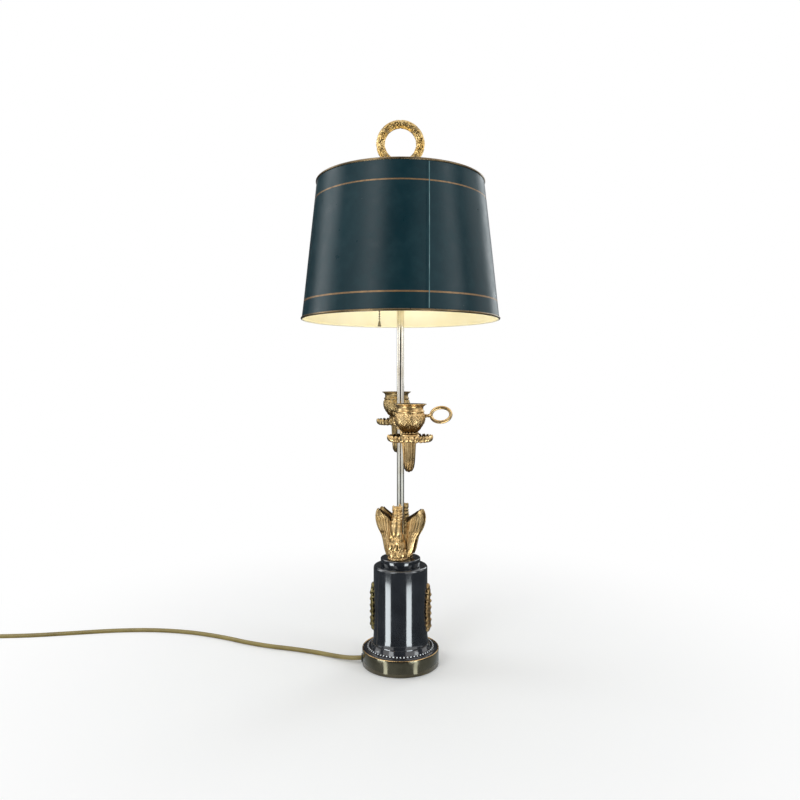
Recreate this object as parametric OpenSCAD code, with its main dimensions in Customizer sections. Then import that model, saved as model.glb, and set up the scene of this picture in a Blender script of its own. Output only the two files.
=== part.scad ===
// Bouillotte lamp: weighted brass base, black column with gilt mounts, a pair of swans, a polished
// pole with two swinging candle arms, and a painted sheet-metal shade under a laurel wreath finial.
// Millimetres. Origin on the pole axis at the underside, +Z up, -Y towards the front.

/* [Base] */
// Outside diameter of the brass base shell
base_d = 105.5; // [96:0.5:120]
// Height of the base shell's rim above the surface
base_h = 22.4; // [20:0.2:30]
// Wall of the base shell
shell_wall = 1.5; // [1:0.1:2]
// Thickness of the felt pad
felt_t = 1.6; // [1:0.1:3]
// Height that the base shell's lower edge stays above the surface
shell_lift = 0.5; // [0.2:0.1:0.9]
// Thickness of the black top plate
plate_t = 2.6; // [2:0.1:3.5]
// How far the top plate lies below the shell's rim
plate_drop = 0.8; // [0.2:0.1:1.2]
// Width of the shelf that carries the top plate
shelf_w = 10; // [6:0.5:14]
// Diameter of the circle that the base beads stand on
bead_circle_d = 88; // [86:0.5:92]
// Diameter of one base bead
bead_d = 3.2; // [2.4:0.1:3.6]
// Number of base beads
bead_count = 60; // [40:1:64]

/* [Column] */
// Diameter of the black column
column_d = 74.4; // [70:0.2:78]
// Height of the black column
column_h = 105.7; // [90:0.1:130]
// Radius of the column's rounded shoulder
shoulder_r = 3; // [1:0.5:5]
// Extra radius of the foot moulding under the column
foot_out = 2.4; // [1:0.2:3.6]
// Height of the foot moulding
foot_h = 7.7; // [5:0.1:10]
// Diameter of the column's cap
cap_d = 54.8; // [52:0.2:66]
// Height of the column's cap
cap_h = 10.5; // [8:0.1:16]

/* [Gilt mounts] */
// Height of each side mount
plaque_h = 66; // [50:1:76]
// Height of a side mount's lower tip above the column's bottom edge
plaque_low = 15; // [6:1:30]
// Half width of a side mount, along the column's surface
plaque_half_w = 15.5; // [10:0.5:18]
// How far a side mount stands out of the column
plaque_out = 5.2; // [3:0.2:7]
// Turn of the pair of side mounts about the pole
plaque_turn = -6; // [-20:1:20]

/* [Swans] */
// Distance of each swan's axis from the pole's axis
swan_out = 11.8; // [11:0.2:13]
// Turn of the pair of swans about the pole
swan_turn = -19; // [-45:1:45]
// Diameter of each swan's leafy foot
swan_foot_d = 27; // [25:0.5:29]
// Thickness of the swans' plinth
plinth_t = 3.6; // [3:0.1:5]
// Height of a swan above its plinth
swan_h = 68.5; // [60:0.5:80]
// Distance of a wing's outermost edge from the swan's middle plane
wing_span = 35; // [30:0.5:40]

/* [Pole] */
// Outside diameter of the pole
pole_d = 10; // [9.6:0.1:12]
// Wall of the pole
pole_wall = 0.95; // [0.8:0.05:1]
// Length of the pole above the swans' plinth
pole_len = 351; // [340:1:380]
// Diameter of the rod above the lampholders
rod_d = 8; // [7:0.2:9]
// Bore of the hollow tie rod and of the wire passages
wire_bore_d = 5.8; // [5:0.1:6]
// Diameter of the inner lead
lead_d = 4.6; // [3:0.1:4.8]

/* [Candle arms] */
// Distance of a candle cup's axis from the pole's axis
arm_reach = 66.6; // [60:0.2:80]
// Height of the front arm's pan seat above the surface
front_seat_z = 313; // [300:1:320]
// Turn of the front arm to the right of straight forward
front_yaw = 10.7; // [-20:0.1:30]
// Turn of the rear arm to the left of straight back
rear_yaw = 5; // [-20:0.1:30]
// Height of an arm's collar
arm_collar_h = 13; // [10:0.5:16]
// Diameter of an arm's collar
arm_collar_d = 19; // [17:0.2:21]
// Diameter of one bead round an arm's collar
collar_bead_d = 5; // [4:0.1:6]
// Number of beads round an arm's collar
collar_beads = 12; // [8:1:14]
// Height of the middle of the arm's collar above the pan seat
collar_rise = 20.25; // [18:0.25:24]
// How far the horn's middle line hangs below the pan seat
horn_drop = 36.2; // [32:0.2:40]
// Radius of the horn under the pan
horn_r = 7.6; // [6.8:0.1:9]
// Radius of the horn's tail at the collar
tail_r = 3; // [2.6:0.1:3.6]
// Number of flutes round the horn
flute_count = 9; // [6:1:10]
// Diameter of a drip pan over its lobes
pan_d = 58; // [54:0.5:66]
// Height of the pan between the horn and the cup
pan_h = 7.5; // [6:0.1:9]
// Diameter of one lobe at a pan's edge
lobe_d = 8; // [7:0.1:9]
// Number of lobes round a pan
lobe_count = 20; // [14:1:22]
// Height of a candle cup
cup_h = 39.5; // [36:0.5:46]
// Radius of a cup's belly
belly_r = 18.8; // [17.5:0.1:21]
// Radius of a cup's lip
lip_r = 21.4; // [20:0.1:24]
// Diameter of the bore for the candle
candle_d = 22.4; // [21:0.1:24]
// Depth of the straight part of the candle's bore
candle_depth = 19; // [14:0.5:21]
// Length of a finger loop, outside
loop_len = 30; // [26:0.5:36]
// Height of a finger loop, outside
loop_h = 23; // [20:0.5:25]
// Diameter of a finger loop's wire
loop_wire_d = 4.4; // [3.4:0.1:4.8]
// Distance from the cup's axis to the loop's far end
loop_reach = 54.8; // [52:0.2:58]
// Height of the loop's root above the cup's foot
loop_z = 23.5; // [22:0.1:26]
// Upward tilt of a finger loop
loop_tilt = 6; // [0:1:15]
// Diameter of the threaded studs and small screws' heads
stud_d = 5; // [4:0.1:6]

/* [Lampholders] */
// Diameter of the cluster body
cluster_d = 22; // [20:0.5:26]
// Height of the cluster body
cluster_h = 20; // [19:0.5:26]
// Distance of a lampholder's axis from the pole's axis
holder_out = 36; // [34:0.5:40]
// Diameter of a lampholder
holder_d = 27; // [25:0.5:29]
// Height of a lampholder
holder_h = 36; // [30:0.5:42]
// Diameter of a socket arm's tube
socket_arm_d = 8; // [7:0.2:9]
// Diameter of a bulb
bulb_d = 44; // [40:1:45]
// Length of a bulb above its lampholder
bulb_len = 48; // [46:1:52]
// Wall of a bulb's glass
glass_t = 0.9; // [0.6:0.1:1.2]
// Diameter of a bulb's screw cap
bulb_cap_d = 14; // [13:0.5:15]
// Distance of the pull chain from the pole's axis, to the left
chain_x = 28.6; // [27:0.1:30]
// Distance of the pull chain from the pole's axis, to the front
chain_y = 17; // [16:0.1:19]
// Diameter of a bead on the pull chain
chain_bead_d = 2.5; // [2:0.1:3]
// Spacing of the pull chain's beads
chain_pitch = 3.3; // [3.1:0.1:4]
// Number of the pull chain's beads
chain_beads = 15; // [8:1:16]
// Length of the pull chain's end bell
bell_len = 7; // [5:0.5:10]

/* [Shade] */
// Height of the shade's lower edge above the surface
shade_z = 474; // [468:1:480]
// Height of the shade, between its edges
shade_h = 186.5; // [180:0.5:192]
// Diameter of the shade's lower edge
shade_bottom_d = 271; // [260:1:290]
// Diameter of the shade's upper edge
shade_top_d = 230.4; // [220:0.2:240]
// Thickness of the shade's sheet metal
shade_t = 0.8; // [0.6:0.1:1.2]
// Diameter of the wired edges
rim_d = 3.2; // [2.6:0.1:4]
// Width of the lapped seam
seam_w = 5; // [3:0.5:8]
// Place of the seam, to the right of straight forward
seam_angle = 15; // [0:1:30]
// Diameter of the spider's hub and of the clamp collar
hub_d = 18; // [16:0.5:20]
// Height of the spider's hub
hub_h = 10; // [8:0.5:12]
// Height of the clamp collar under the hub
clamp_h = 12; // [10:0.5:14]
// How far the spokes' inner ends lie below the shade's upper edge
spider_drop = 9; // [6:0.5:12]
// Diameter of a spoke
spoke_d = 3.2; // [2.6:0.1:4]
// Number of spokes
spoke_count = 3; // [3:1:6]
// Turn of the first spoke about the rod, from the right
spoke_turn = 60; // [0:5:120]

/* [Finial] */
// Gap between the shade's upper edge and the wreath's turned base
finial_gap = 5.6; // [4:0.1:9]
// Height of the wreath's turned base
finial_h = 18.9; // [17:0.1:24]
// Outside diameter of the wreath
wreath_d = 67.5; // [60:0.5:76]
// Width of the wreath's band, seen from the front
wreath_band = 12.5; // [10:0.5:15]
// Thickness of the wreath, front to back
wreath_t = 9.5; // [8:0.5:12]
// Number of leaf pairs round the wreath
leaf_count = 22; // [18:1:26]

/* [Cord] */
// Diameter of the flexible cord
cord_d = 6; // [5:0.1:6.4]
// Inner radius of the cord's coil
coil_r = 26; // [24:0.5:32]
// Turns in the cord's coil
coil_turns = 5.25; // [4.25:1:7.25]
// Least gap between neighbouring turns
coil_gap = 0.7; // [0.6:0.1:1.5]
// Length of the plug's body
plug_len = 34; // [28:1:40]
// Width of the plug's body
plug_w = 26; // [24:1:36]
// Length of the plug's tapered strain relief
relief_len = 24; // [20:1:40]
// Diameter of a plug pin
pin_d = 4; // [3.8:0.1:4.8]
// Length of a plug pin
pin_len = 19; // [17:0.5:20]
// Distance between the plug's pins
pin_gap = 18.6; // [17:0.1:19]

/* [Hidden] */
$fn = 64;

// Clearances
fit = 0.05;         // round pieces that fit in one another
seat_gap = 0.25;    // flat faces that slide on one another
screw_fit = 0.1;    // small screws in their holes

// Colours
gilt = [0.80, 0.62, 0.33];
old_brass = [0.42, 0.38, 0.24];
polished = [0.75, 0.72, 0.66];
black = [0.09, 0.09, 0.10];
steel = [0.6, 0.6, 0.62];

// Heights of the base's stack
base_r = base_d / 2;
column_r = column_d / 2;
cap_r = cap_d / 2;
shell_in_r = base_r - shell_wall;
plate_top = base_h - plate_drop;
shelf_top = plate_top - plate_t;
shelf_bottom = shelf_top - shell_wall;
column_z = plate_top + foot_h;
cap_z = column_z + column_h;
plinth_z = cap_z + cap_h;
plinth_top = plinth_z + plinth_t;

// Tie rod, nut and pole
pole_r = pole_d / 2;
pole_bore_r = pole_r - pole_wall;
tie_r = pole_bore_r - fit;
wire_r = wire_bore_d / 2;
washer_t = 1.5;
weight_web = 4;
nut_flats = 17;
nut_t = 4;
nut_z = shelf_bottom - weight_web - washer_t - nut_t;
weight_recess = nut_z + nut_t + washer_t;
tie_overlap = 22;
pole_top = plinth_top + pole_len;

// Cord outlet
cord_r = cord_d / 2;
bushing_r = cord_r + 1.9;
bushing_flange = 1.2;
outlet_z = bushing_r + felt_t + 0.1;
channel_w = cord_d + 3;

// Arms: the rear arm's collar turns on top of the front arm's
arm_rise = arm_collar_h + 2 * seat_gap;
rear_seat_z = front_seat_z + arm_rise;
stop_h = 4.5;
stop_r = pole_r + 1.2;
cup_foot_r = 9.9;
cup_floor = cup_h - 12 - candle_depth;

// Lampholders
cluster_z = pole_top - 9;
web_t = 3;
port_z = cluster_z + 0.6 * cluster_h;
elbow_r = 11;
holder_z = port_z + elbow_r;
holder_wall = 1.2;
holder_r = holder_d / 2;
bulb_r = bulb_d / 2;
rod_z = pole_top + web_t;
rod_r = rod_d / 2;
nozzle_r = 3.2;
nozzle_z = holder_z - 7;
chain_top = nozzle_z + 9;

// Shade and what carries it
shade_r0 = shade_bottom_d / 2;
shade_r1 = shade_top_d / 2;
rim_r = rim_d / 2;
shade_top = shade_z + shade_h;
hub_top = shade_top - spider_drop;
hub_z = hub_top - hub_h;
clamp_z = hub_z - seat_gap - clamp_h;
thumb_r = 2;
thumb_z = clamp_z + clamp_h / 2;

// Finial: its base is screwed on the rod's end, and the wreath stands a little way in the base
finial_z = shade_top + finial_gap;
finial_top = finial_z + finial_h;
finial_socket = 12;
rod_top = finial_z + finial_socket;
wreath_r = (wreath_d - wreath_band) / 2;
wreath_low = finial_top - 2.5;
wreath_z = wreath_low + wreath_d / 2;
stem_r = 3;
stem_deep = 4;

// ---- Helpers ----

function unit(v) = v / norm(v);
function along(path, i) = unit(path[min(i + 1, len(path) - 1)] - path[max(i - 1, 0)]);

// One ring of a swept tube, square to direction d at point p; flute draws every second side in
function ring_at(p, d, ref, r, sides, flute) =
    let (e1 = unit(cross(ref, d)), e2 = cross(d, e1))
    [for (k = [0 : sides - 1])
        let (a = 360 * k / sides, rk = (k % 2 == 0) ? r : r * (1 - flute))
        p + rk * (cos(a) * e1 + sin(a) * e2)];

// A closed tube along a path of points; radii has one value a point
module sweep(path, radii, sides, ref = [0, 0, 1], flute = 0) {
    n = len(path);
    points = [for (i = [0 : n - 1])
        each ring_at(path[i], along(path, i), ref, radii[i], sides, flute)];
    walls = [for (i = [0 : n - 2], k = [0 : sides - 1])
        let (a = i * sides + k, b = i * sides + (k + 1) % sides)
        each [[a, a + sides, b + sides], [a, b + sides, b]]];
    first = [for (k = [0 : sides - 1]) k];
    last = [for (k = [sides - 1 : -1 : 0]) (n - 1) * sides + k];
    polyhedron(points, concat(walls, [first, last]));
}

// A smooth curve through hand-chosen points, steps pieces to each stretch
function curve_point(a, b, c, d, t) =
    0.5 * ((2 * b) + (c - a) * t + (2 * a - 5 * b + 4 * c - d) * t * t
    + (3 * b - a - 3 * c + d) * t * t * t);
function smooth(pts, steps) =
    let (n = len(pts))
    [for (i = [0 : n - 2], s = [0 : steps - 1 + (i == n - 2 ? 1 : 0)])
        curve_point(pts[max(i - 1, 0)], pts[i], pts[i + 1], pts[min(i + 2, n - 1)], s / steps)];
function path_length(path, i = 1) =
    i >= len(path) ? 0 : norm(path[i] - path[i - 1]) + path_length(path, i + 1);

module tube(outer, inner, h) {
    difference() {
        cylinder(r = outer, h = h);
        translate([0, 0, -1]) cylinder(r = inner, h = h + 2);
    }
}

// A disc with a rounded upper edge, as a profile for rotate_extrude
module rounded_profile(r, h, f) {
    square([r - f, h]);
    square([r, h - f]);
    translate([r - f, h - f]) circle(f);
}

module ring_of(count, r) {
    for (i = [0 : count - 1]) rotate(360 * i / count) translate([r, 0, 0]) children();
}

// ---- Base ----

module base_shell() {
    lip = shell_wall / 2;
    color(old_brass) difference() {
        rotate_extrude() {
            translate([shell_in_r, shell_lift]) square([shell_wall, base_h - lip - shell_lift]);
            translate([base_r - lip, base_h - lip]) circle(lip);
            translate([shell_in_r - shelf_w, shelf_bottom]) square([shelf_w + lip, shell_wall]);
        }
        translate([-base_r, 0, outlet_z]) rotate([0, 90, 0])
            cylinder(r = bushing_r, h = 4 * shell_wall, center = true);
    }
}

module felt_pad() {
    color([0.10, 0.25, 0.16]) tube(shell_in_r - 0.2, nut_flats, felt_t);
}

module base_weight() {
    color([0.25, 0.25, 0.26]) difference() {
        translate([0, 0, felt_t]) cylinder(r = shell_in_r - 0.3, h = shelf_bottom - felt_t);
        cylinder(r = nut_flats, h = weight_recess);
        cylinder(r = tie_r + fit, h = base_h);
        translate([-base_r, -channel_w / 2, 0]) cube([base_r, channel_w, outlet_z + bushing_r]);
        translate([-base_r, -bushing_r - 1, 0])
            cube([shell_wall + 4, 2 * bushing_r + 2, outlet_z + bushing_r + 0.6]);
    }
}

module top_plate() {
    color(black) translate([0, 0, shelf_top])
        tube(shell_in_r - 0.1, tie_r + fit, plate_t);
}

module bead_ring() {
    color(black) translate([0, 0, plate_top]) {
        tube(bead_circle_d / 2 + bead_d / 2, bead_circle_d / 2 - bead_d / 2, bead_d / 4);
        ring_of(bead_count, bead_circle_d / 2)
            translate([0, 0, bead_d / 2]) sphere(d = bead_d);
    }
}

module column_foot() {
    step = foot_h / 3;
    color(black) difference() {
        translate([0, 0, plate_top]) rotate_extrude() {
            square([column_r + foot_out, step]);
            translate([0, step]) square([column_r + foot_out / 3, step]);
            translate([0, 2 * step]) rounded_profile(column_r + foot_out / 2, step, step / 2);
        }
        translate([0, 0, plate_top - 1]) cylinder(r = tie_r + fit, h = foot_h + 2);
    }
}

module column() {
    color(black) difference() {
        translate([0, 0, column_z]) rotate_extrude() rounded_profile(column_r, column_h, shoulder_r);
        translate([0, 0, column_z - 1]) cylinder(r = tie_r + fit, h = column_h + 2);
        for (p = nail_places) nail_shape(p, screw_fit);
    }
}

module column_cap() {
    color(black) difference() {
        translate([0, 0, cap_z]) rotate_extrude() rounded_profile(cap_r, cap_h, 1);
        translate([0, 0, cap_z - 1]) cylinder(r = tie_r + fit, h = cap_h + 2);
        for (side = [0, 180]) swan_frame(side) translate([swan_out, 0, -plinth_t - screw_head_t - 0.1])
            cylinder(d = stud_d + 2 * screw_fit, h = 5);
    }
}

module tie_rod() {
    color(steel) translate([0, 0, nut_z - 0.4])
        tube(tie_r, wire_r, plinth_top + tie_overlap - nut_z + 0.4);
}

module tie_nut() {
    color(steel) translate([0, 0, nut_z]) difference() {
        cylinder(d = nut_flats / cos(30), h = nut_t, $fn = 6);
        translate([0, 0, -1]) cylinder(r = tie_r + fit, h = nut_t + 2);
    }
}

module tie_washer() {
    color(steel) translate([0, 0, nut_z + nut_t]) tube(nut_flats - 1, tie_r + fit, washer_t);
}

module cord_bushing() {
    color(black) difference() {
        translate([-base_r, 0, outlet_z]) rotate([0, 90, 0]) {
            cylinder(r = bushing_r - fit, h = shell_wall + 3);
            // the flange lies against the shell's round wall
            difference() {
                translate([0, 0, -bushing_flange]) cylinder(r = bushing_r + 0.8, h = bushing_flange + 1);
                translate([-2 * bushing_r, 0, base_r]) rotate([0, 90, 0])
                    cylinder(r = base_r, h = 4 * bushing_r);
            }
        }
        translate([-base_r - 3, 0, outlet_z]) rotate([0, 90, 0]) cylinder(r = cord_r + fit, h = 12);
    }
}

// The two-core lead inside: from the bushing along the weight's channel, then up the rod and the pole
lead_bend = [
    [-base_r + shell_wall + 4, 0, outlet_z], [-36, 0, outlet_z], [-22, 0, 5], [-12, 0, 3.8],
    [-5, 0, 4], [-1.3, 0, 5.6], [0, 0, 9.5], [0, 0, 14]
];

module inner_lead() {
    lead_path = concat(smooth(lead_bend, 2), [[0, 0, pole_top - 2]]);
    color([0.5, 0.45, 0.3]) sweep(lead_path, [for (p = lead_path) lead_d / 2], 8, [0, 1, 0]);
}

// ---- Gilt mounts on the column ----

plaque_z = column_z + plaque_low;
nail_r = 0.9;
nail_len = 9;
// Each place is an angle about the pole and a height
nail_places = [for (side = [0, 180], h = [0.22, 0.82])
    [side + plaque_turn, plaque_z + plaque_h * h]];

module nail_shape(place, gap) {
    translate([0, 0, place[1]]) rotate(place[0]) translate([column_r - nail_len + 2, 0, 0])
        rotate([0, 90, 0]) cylinder(r = nail_r + gap, h = nail_len);
}

module plaque_nails() {
    color(gilt) for (p = nail_places) nail_shape(p, 0);
}

// A leaf on the column's surface: s runs round the surface, z up it, from its root to its tip
module column_leaf(s0, z0, s1, z1, w, proud) {
    function at(s, z, out) = [
        (column_r + out) * cos(s / column_r * 180 / PI), (column_r + out) * sin(s / column_r * 180 / PI), z
    ];
    hull() {
        translate(at(s0, z0, 0)) sphere(w * 0.55, $fn = 8);
        translate(at((s0 + s1) / 2, (z0 + z1) / 2, proud - w * 0.7)) sphere(w * 0.9, $fn = 8);
        translate(at(s1, z1, proud * 0.3)) sphere(w * 0.3, $fn = 6);
    }
}

// A palmette: a pointed tail below, pairs of leaves that widen to the lower third, a top leaf
module plaque(side) {
    pairs = 5;
    color(gilt) rotate(side + plaque_turn) difference() {
        translate([0, 0, plaque_z]) {
            for (m = [-1, 1], i = [0 : pairs - 1]) {
                low = plaque_h * (0.16 + 0.13 * i);
                reach = plaque_half_w * [0.78, 1, 0.9, 0.78, 0.62][i];
                column_leaf(m * 1.5, low, m * (reach - 1.5), low + plaque_h * 0.15, 3.4, plaque_out - 1.2);
            }
            column_leaf(0, plaque_h * 0.3, 0, 1.5, 4.6, plaque_out - 1.8);
            column_leaf(0, plaque_h * 0.2, 0, plaque_h * 0.62, 5, plaque_out);
            column_leaf(0, plaque_h * 0.6, 0, plaque_h - 1.5, 4.4, plaque_out - 1.6);
        }
        translate([0, 0, column_z]) cylinder(r = column_r + 0.05, h = column_h, $fn = 90);
        for (p = nail_places) rotate(-side - plaque_turn) nail_shape(p, screw_fit);
    }
}

module plaque_left() {
    plaque(180);
}

module plaque_right() {
    plaque(0);
}

// ---- Swans ----

// Local frame of a swan: +X points out of the pair, away from the pole, Z from the plinth's top
module swan_frame(side) {
    translate([0, 0, plinth_top]) rotate(side - 90 + swan_turn) children();
}

module swan_plinth() {
    beads = 16;
    color(gilt) difference() {
        translate([0, 0, -plinth_t]) for (side = [0, 180]) swan_frame(side) translate([swan_out, 0, 0]) {
            cylinder(d = swan_foot_d - 2, h = plinth_t);
            ring_of(beads, swan_foot_d / 2 - 1.6) translate([0, 0, plinth_t / 2]) sphere(plinth_t / 2 - 0.1);
        }
        translate([0, 0, plinth_z - 1]) cylinder(r = tie_r + fit, h = plinth_t + 2);
        for (side = [0, 180]) swan_frame(side) translate([swan_out, 0, -6]) {
            cylinder(r = swan_screw_r + screw_fit, h = 10);
        }
    }
}

swan_screw_r = 1.6;
screw_head_t = 2;

module swan_screws() {
    color(steel) for (side = [0, 180]) swan_frame(side) translate([swan_out, 0, -plinth_t - screw_head_t]) {
        cylinder(d = stud_d, h = screw_head_t);
        cylinder(r = swan_screw_r, h = plinth_t + screw_head_t + 8);
    }
}

// A raised wing: rows from its foot to its tip, each a depth, then the inner and the outer edge's
// distance from the middle plane and height, as shares of the wing span and the swan's height
wing_rows = [
    [11, 0.26, 0.03, 0.47, 0.015], [10, 0.27, 0.15, 0.545, 0.13], [9, 0.29, 0.27, 0.61, 0.255],
    [8, 0.33, 0.40, 0.69, 0.37], [7, 0.40, 0.53, 0.81, 0.475], [6.2, 0.49, 0.645, 0.94, 0.585],
    [5.8, 0.61, 0.735, 1.0, 0.70], [6.4, 0.76, 0.825, 0.985, 0.81], [8.5, 0.86, 0.895, 0.90, 0.91]
];
wing_t = 3;
wing_swell = 1.6;
wing_cols = 4;

// The wing as a curved sheet, on the +Y side
module wing() {
    rows = len(wing_rows);
    across = wing_cols + 1;
    function front(i, j) =
        let (r = wing_rows[i], v = j / wing_cols)
        [r[0] + wing_swell * sin(180 * v), wing_span * (r[1] + (r[3] - r[1]) * v),
            swan_h * (r[2] + (r[4] - r[2]) * v)];
    face = [for (i = [0 : rows - 1], j = [0 : wing_cols]) front(i, j)];
    rear = [for (p = face) p - [wing_t, 0, 0]];
    n = rows * across;
    polyhedron(concat(face, rear), concat(
        [for (i = [0 : rows - 2], j = [0 : wing_cols - 1])
            let (a = i * across + j, b = a + across)
            each [[a, b, a + 1], [a + 1, b, b + 1], [n + a, n + a + 1, n + b], [n + a + 1, n + b + 1, n + b]]],
        [for (i = [0 : rows - 2])
            let (a = i * across, b = a + across, c = a + wing_cols, d = b + wing_cols)
            each [[a, n + a, b], [b, n + a, n + b], [c, d, n + c], [d, n + d, n + c]]],
        [for (j = [0 : wing_cols - 1])
            let (a = j, c = (rows - 1) * across + j)
            each [[a, a + 1, n + a], [a + 1, n + a + 1, n + a], [c, n + c, c + 1], [c + 1, n + c, n + c + 1]]]
    ));
}

module swan(side) {
    h = swan_h;
    neck = [
        [14.5, 0, 0.38 * h], [17.8, 0, 0.51 * h], [17.2, 0, 0.64 * h], [14.6, 0, 0.745 * h],
        [13.4, 0, 0.83 * h], [14.2, 0, 0.89 * h]
    ];
    color(gilt) difference() {
        swan_frame(side) {
            // body, breast and rump
            hull() {
                translate([swan_out - 1, 0, 1]) cylinder(r = 10.5, h = 2, $fn = 20);
                translate([swan_out, 0, 0.22 * h]) sphere(12.2, $fn = 16);
                translate([swan_out + 2.5, 0, 0.42 * h]) sphere(9.4, $fn = 16);
            }
            sweep(neck, [8.6, 7.8, 7.2, 6.8, 6.6, 5.6], 12, [0, 1, 0]);
            // head and bill, bowed towards the breast
            translate([15, 0, 0.905 * h]) sphere(6.2, $fn = 16);
            hull() {
                translate([18, 0, 0.89 * h]) sphere(4.2, $fn = 10);
                translate([22, 0, 0.75 * h]) sphere(2.4, $fn = 8);
            }
            wing();
            mirror([0, 1, 0]) wing();
            // leaves round the foot
            for (i = [-3 : 3]) rotate_about(swan_out, i * 34) hull() {
                translate([11.5, 0, 1.2]) sphere(2, $fn = 6);
                translate([12, 0, 7]) sphere(1, $fn = 6);
            }
        }
        cylinder(r = pole_r + 0.3, h = plinth_top + h + 10, $fn = 48);
        swan_frame(side) translate([swan_out, 0, -1])
            cylinder(r = swan_screw_r + screw_fit, h = 10, $fn = 24);
        // the other swan's half of the space
        swan_frame(side) translate([-60.06, -60, -1]) cube([60, 120, h + 10]);
        swan_frame(side) translate([-60, -60, -10]) cube([120, 120, 10]);
    }
}

module rotate_about(x, a) {
    translate([x, 0, 0]) rotate(a) children();
}

module swan_front() {
    swan(0);
}

module swan_rear() {
    swan(180);
}

// ---- Pole and candle arms ----

module pole() {
    color(polished) translate([0, 0, plinth_top]) tube(pole_r, pole_bore_r, pole_len);
}

stop_z = front_seat_z + collar_rise - arm_collar_h / 2 - seat_gap - stop_h;

module stop_collar() {
    color(gilt) translate([0, 0, stop_z]) difference() {
        tube(stop_r, pole_r + fit, stop_h);
        translate([0, 0, stop_h / 2]) rotate([-90, 0, 0]) cylinder(r = 1.2 + screw_fit, h = stop_r + 2);
    }
}

module stop_screw() {
    color(steel) translate([0, pole_r + fit, stop_z + stop_h / 2]) rotate([-90, 0, 0])
        cylinder(r = 1.2, h = 1.1);
}

// Places what belongs to an arm: its own +X is the arm's direction
module arm_frame(side) {
    yaw = side == "front" ? -90 + front_yaw : 90 + rear_yaw;
    seat = side == "front" ? front_seat_z : rear_seat_z;
    translate([0, 0, seat]) rotate(yaw) children();
}

// The arm's middle line, as distance out and height: it leaves the collar, runs down to the horn's
// lowest point and turns up under the pan
horn_line = [
    [arm_collar_d / 2 - 1.5, 0, collar_rise], [0.203 * arm_reach, 0, 0.83 * collar_rise],
    [0.293 * arm_reach, 0, 0.4 * collar_rise], [0.443 * arm_reach, 0, -0.18 * horn_drop],
    [0.586 * arm_reach, 0, -0.448 * horn_drop], [0.676 * arm_reach, 0, -0.671 * horn_drop],
    [0.743 * arm_reach, 0, -0.873 * horn_drop], [0.818 * arm_reach, 0, -horn_drop],
    [0.901 * arm_reach, 0, -0.989 * horn_drop], [0.961 * arm_reach, 0, -0.829 * horn_drop],
    [0.985 * arm_reach, 0, -0.58 * horn_drop], [0.996 * arm_reach, 0, -0.276 * horn_drop],
    [arm_reach, 0, 1]
];
flute_depth = 0.14;

module candle_arm(side) {
    line = smooth(horn_line, 2);
    last = len(line) - 1;
    swell = [for (i = [0 : last]) tail_r + (horn_r - tail_r) * i / last];
    color(gilt) arm_frame(side) difference() {
        union() {
            sweep(line, swell, 2 * flute_count, [0, 1, 0], flute_depth);
            translate([0, 0, collar_rise - arm_collar_h / 2])
                cylinder(d = arm_collar_d, h = arm_collar_h);
            ring_of(collar_beads, (arm_collar_d - 1) / 2)
                translate([0, 0, collar_rise]) sphere(d = collar_bead_d);
        }
        translate([0, 0, collar_rise - arm_collar_h])
            cylinder(r = pole_r + fit, h = 2 * arm_collar_h);
        translate([arm_reach, 0, -stud_deep]) cylinder(d = stud_d + 2 * fit, h = stud_deep + 1);
        // the flat seat under the pan
        translate([arm_reach, 0, 0]) cylinder(r = 2 * horn_r, h = horn_r);
    }
}

stud_deep = 10;
stud_up = 5;

module stud(side) {
    color(steel) arm_frame(side) translate([arm_reach, 0, -stud_deep])
        cylinder(d = stud_d, h = stud_deep + pan_h + stud_up);
}

module pan(side) {
    rim_r = pan_d / 2 - lobe_d / 2;
    color(gilt) arm_frame(side) translate([arm_reach, 0, 0]) difference() {
        union() {
            cylinder(r = rim_r, h = 2.6);
            cylinder(r1 = cup_foot_r + 3, r2 = cup_foot_r + 1, h = pan_h);
            ring_of(lobe_count, rim_r) translate([0, 0, lobe_d / 2 - 0.6]) sphere(d = lobe_d);
        }
        translate([0, 0, -1]) cylinder(d = stud_d + 2 * fit, h = pan_h + 2);
        translate([0, 0, -lobe_d]) cylinder(d = 2 * pan_d, h = lobe_d);
    }
}

// Outside of a cup from its foot to its lip, then inside down to the candle's bore
cup_outline = [
    [0, 0], [cup_foot_r, 0], [cup_foot_r + 0.6, 1.2], [cup_foot_r - 0.3, 2.6],
    [0.62 * belly_r, 6], [0.78 * belly_r, 10], [0.93 * belly_r, 15], [belly_r, 20],
    [belly_r - 0.1, 24], [0.91 * belly_r, 27.4], [0.87 * belly_r, 28.6], [0.925 * belly_r, 29],
    [0.925 * belly_r, 30.2], [0.85 * belly_r, 31], [0.84 * belly_r, cup_h - 5.5],
    [0.86 * lip_r, cup_h - 2.8], [lip_r - 0.5, cup_h - 1.5], [lip_r, cup_h - 0.6], [lip_r - 0.7, cup_h],
    [lip_r - 2, cup_h - 0.2], [lip_r - 5, cup_h - 2.6], [candle_d / 2, cup_h - 12], [0, cup_h - 12]
];

module cup(side, loop_turn) {
    color(gilt) arm_frame(side) translate([arm_reach, 0, pan_h]) difference() {
        rotate_extrude() polygon(cup_outline);
        translate([0, 0, cup_floor]) cylinder(d = candle_d, h = candle_depth + 1);
        translate([0, 0, cup_h - 12]) cylinder(d1 = candle_d, d2 = 2 * (lip_r - 5), h = 9.4);
        translate([0, 0, -1]) cylinder(d = stud_d + 2 * fit, h = stud_up + 1.2);
        rotate(loop_turn) translate([belly_r - 4, 0, loop_z]) rotate([0, 90, 0])
            cylinder(r = loop_wire_d / 2 - 0.4 + fit, h = 10);
    }
}

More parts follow.
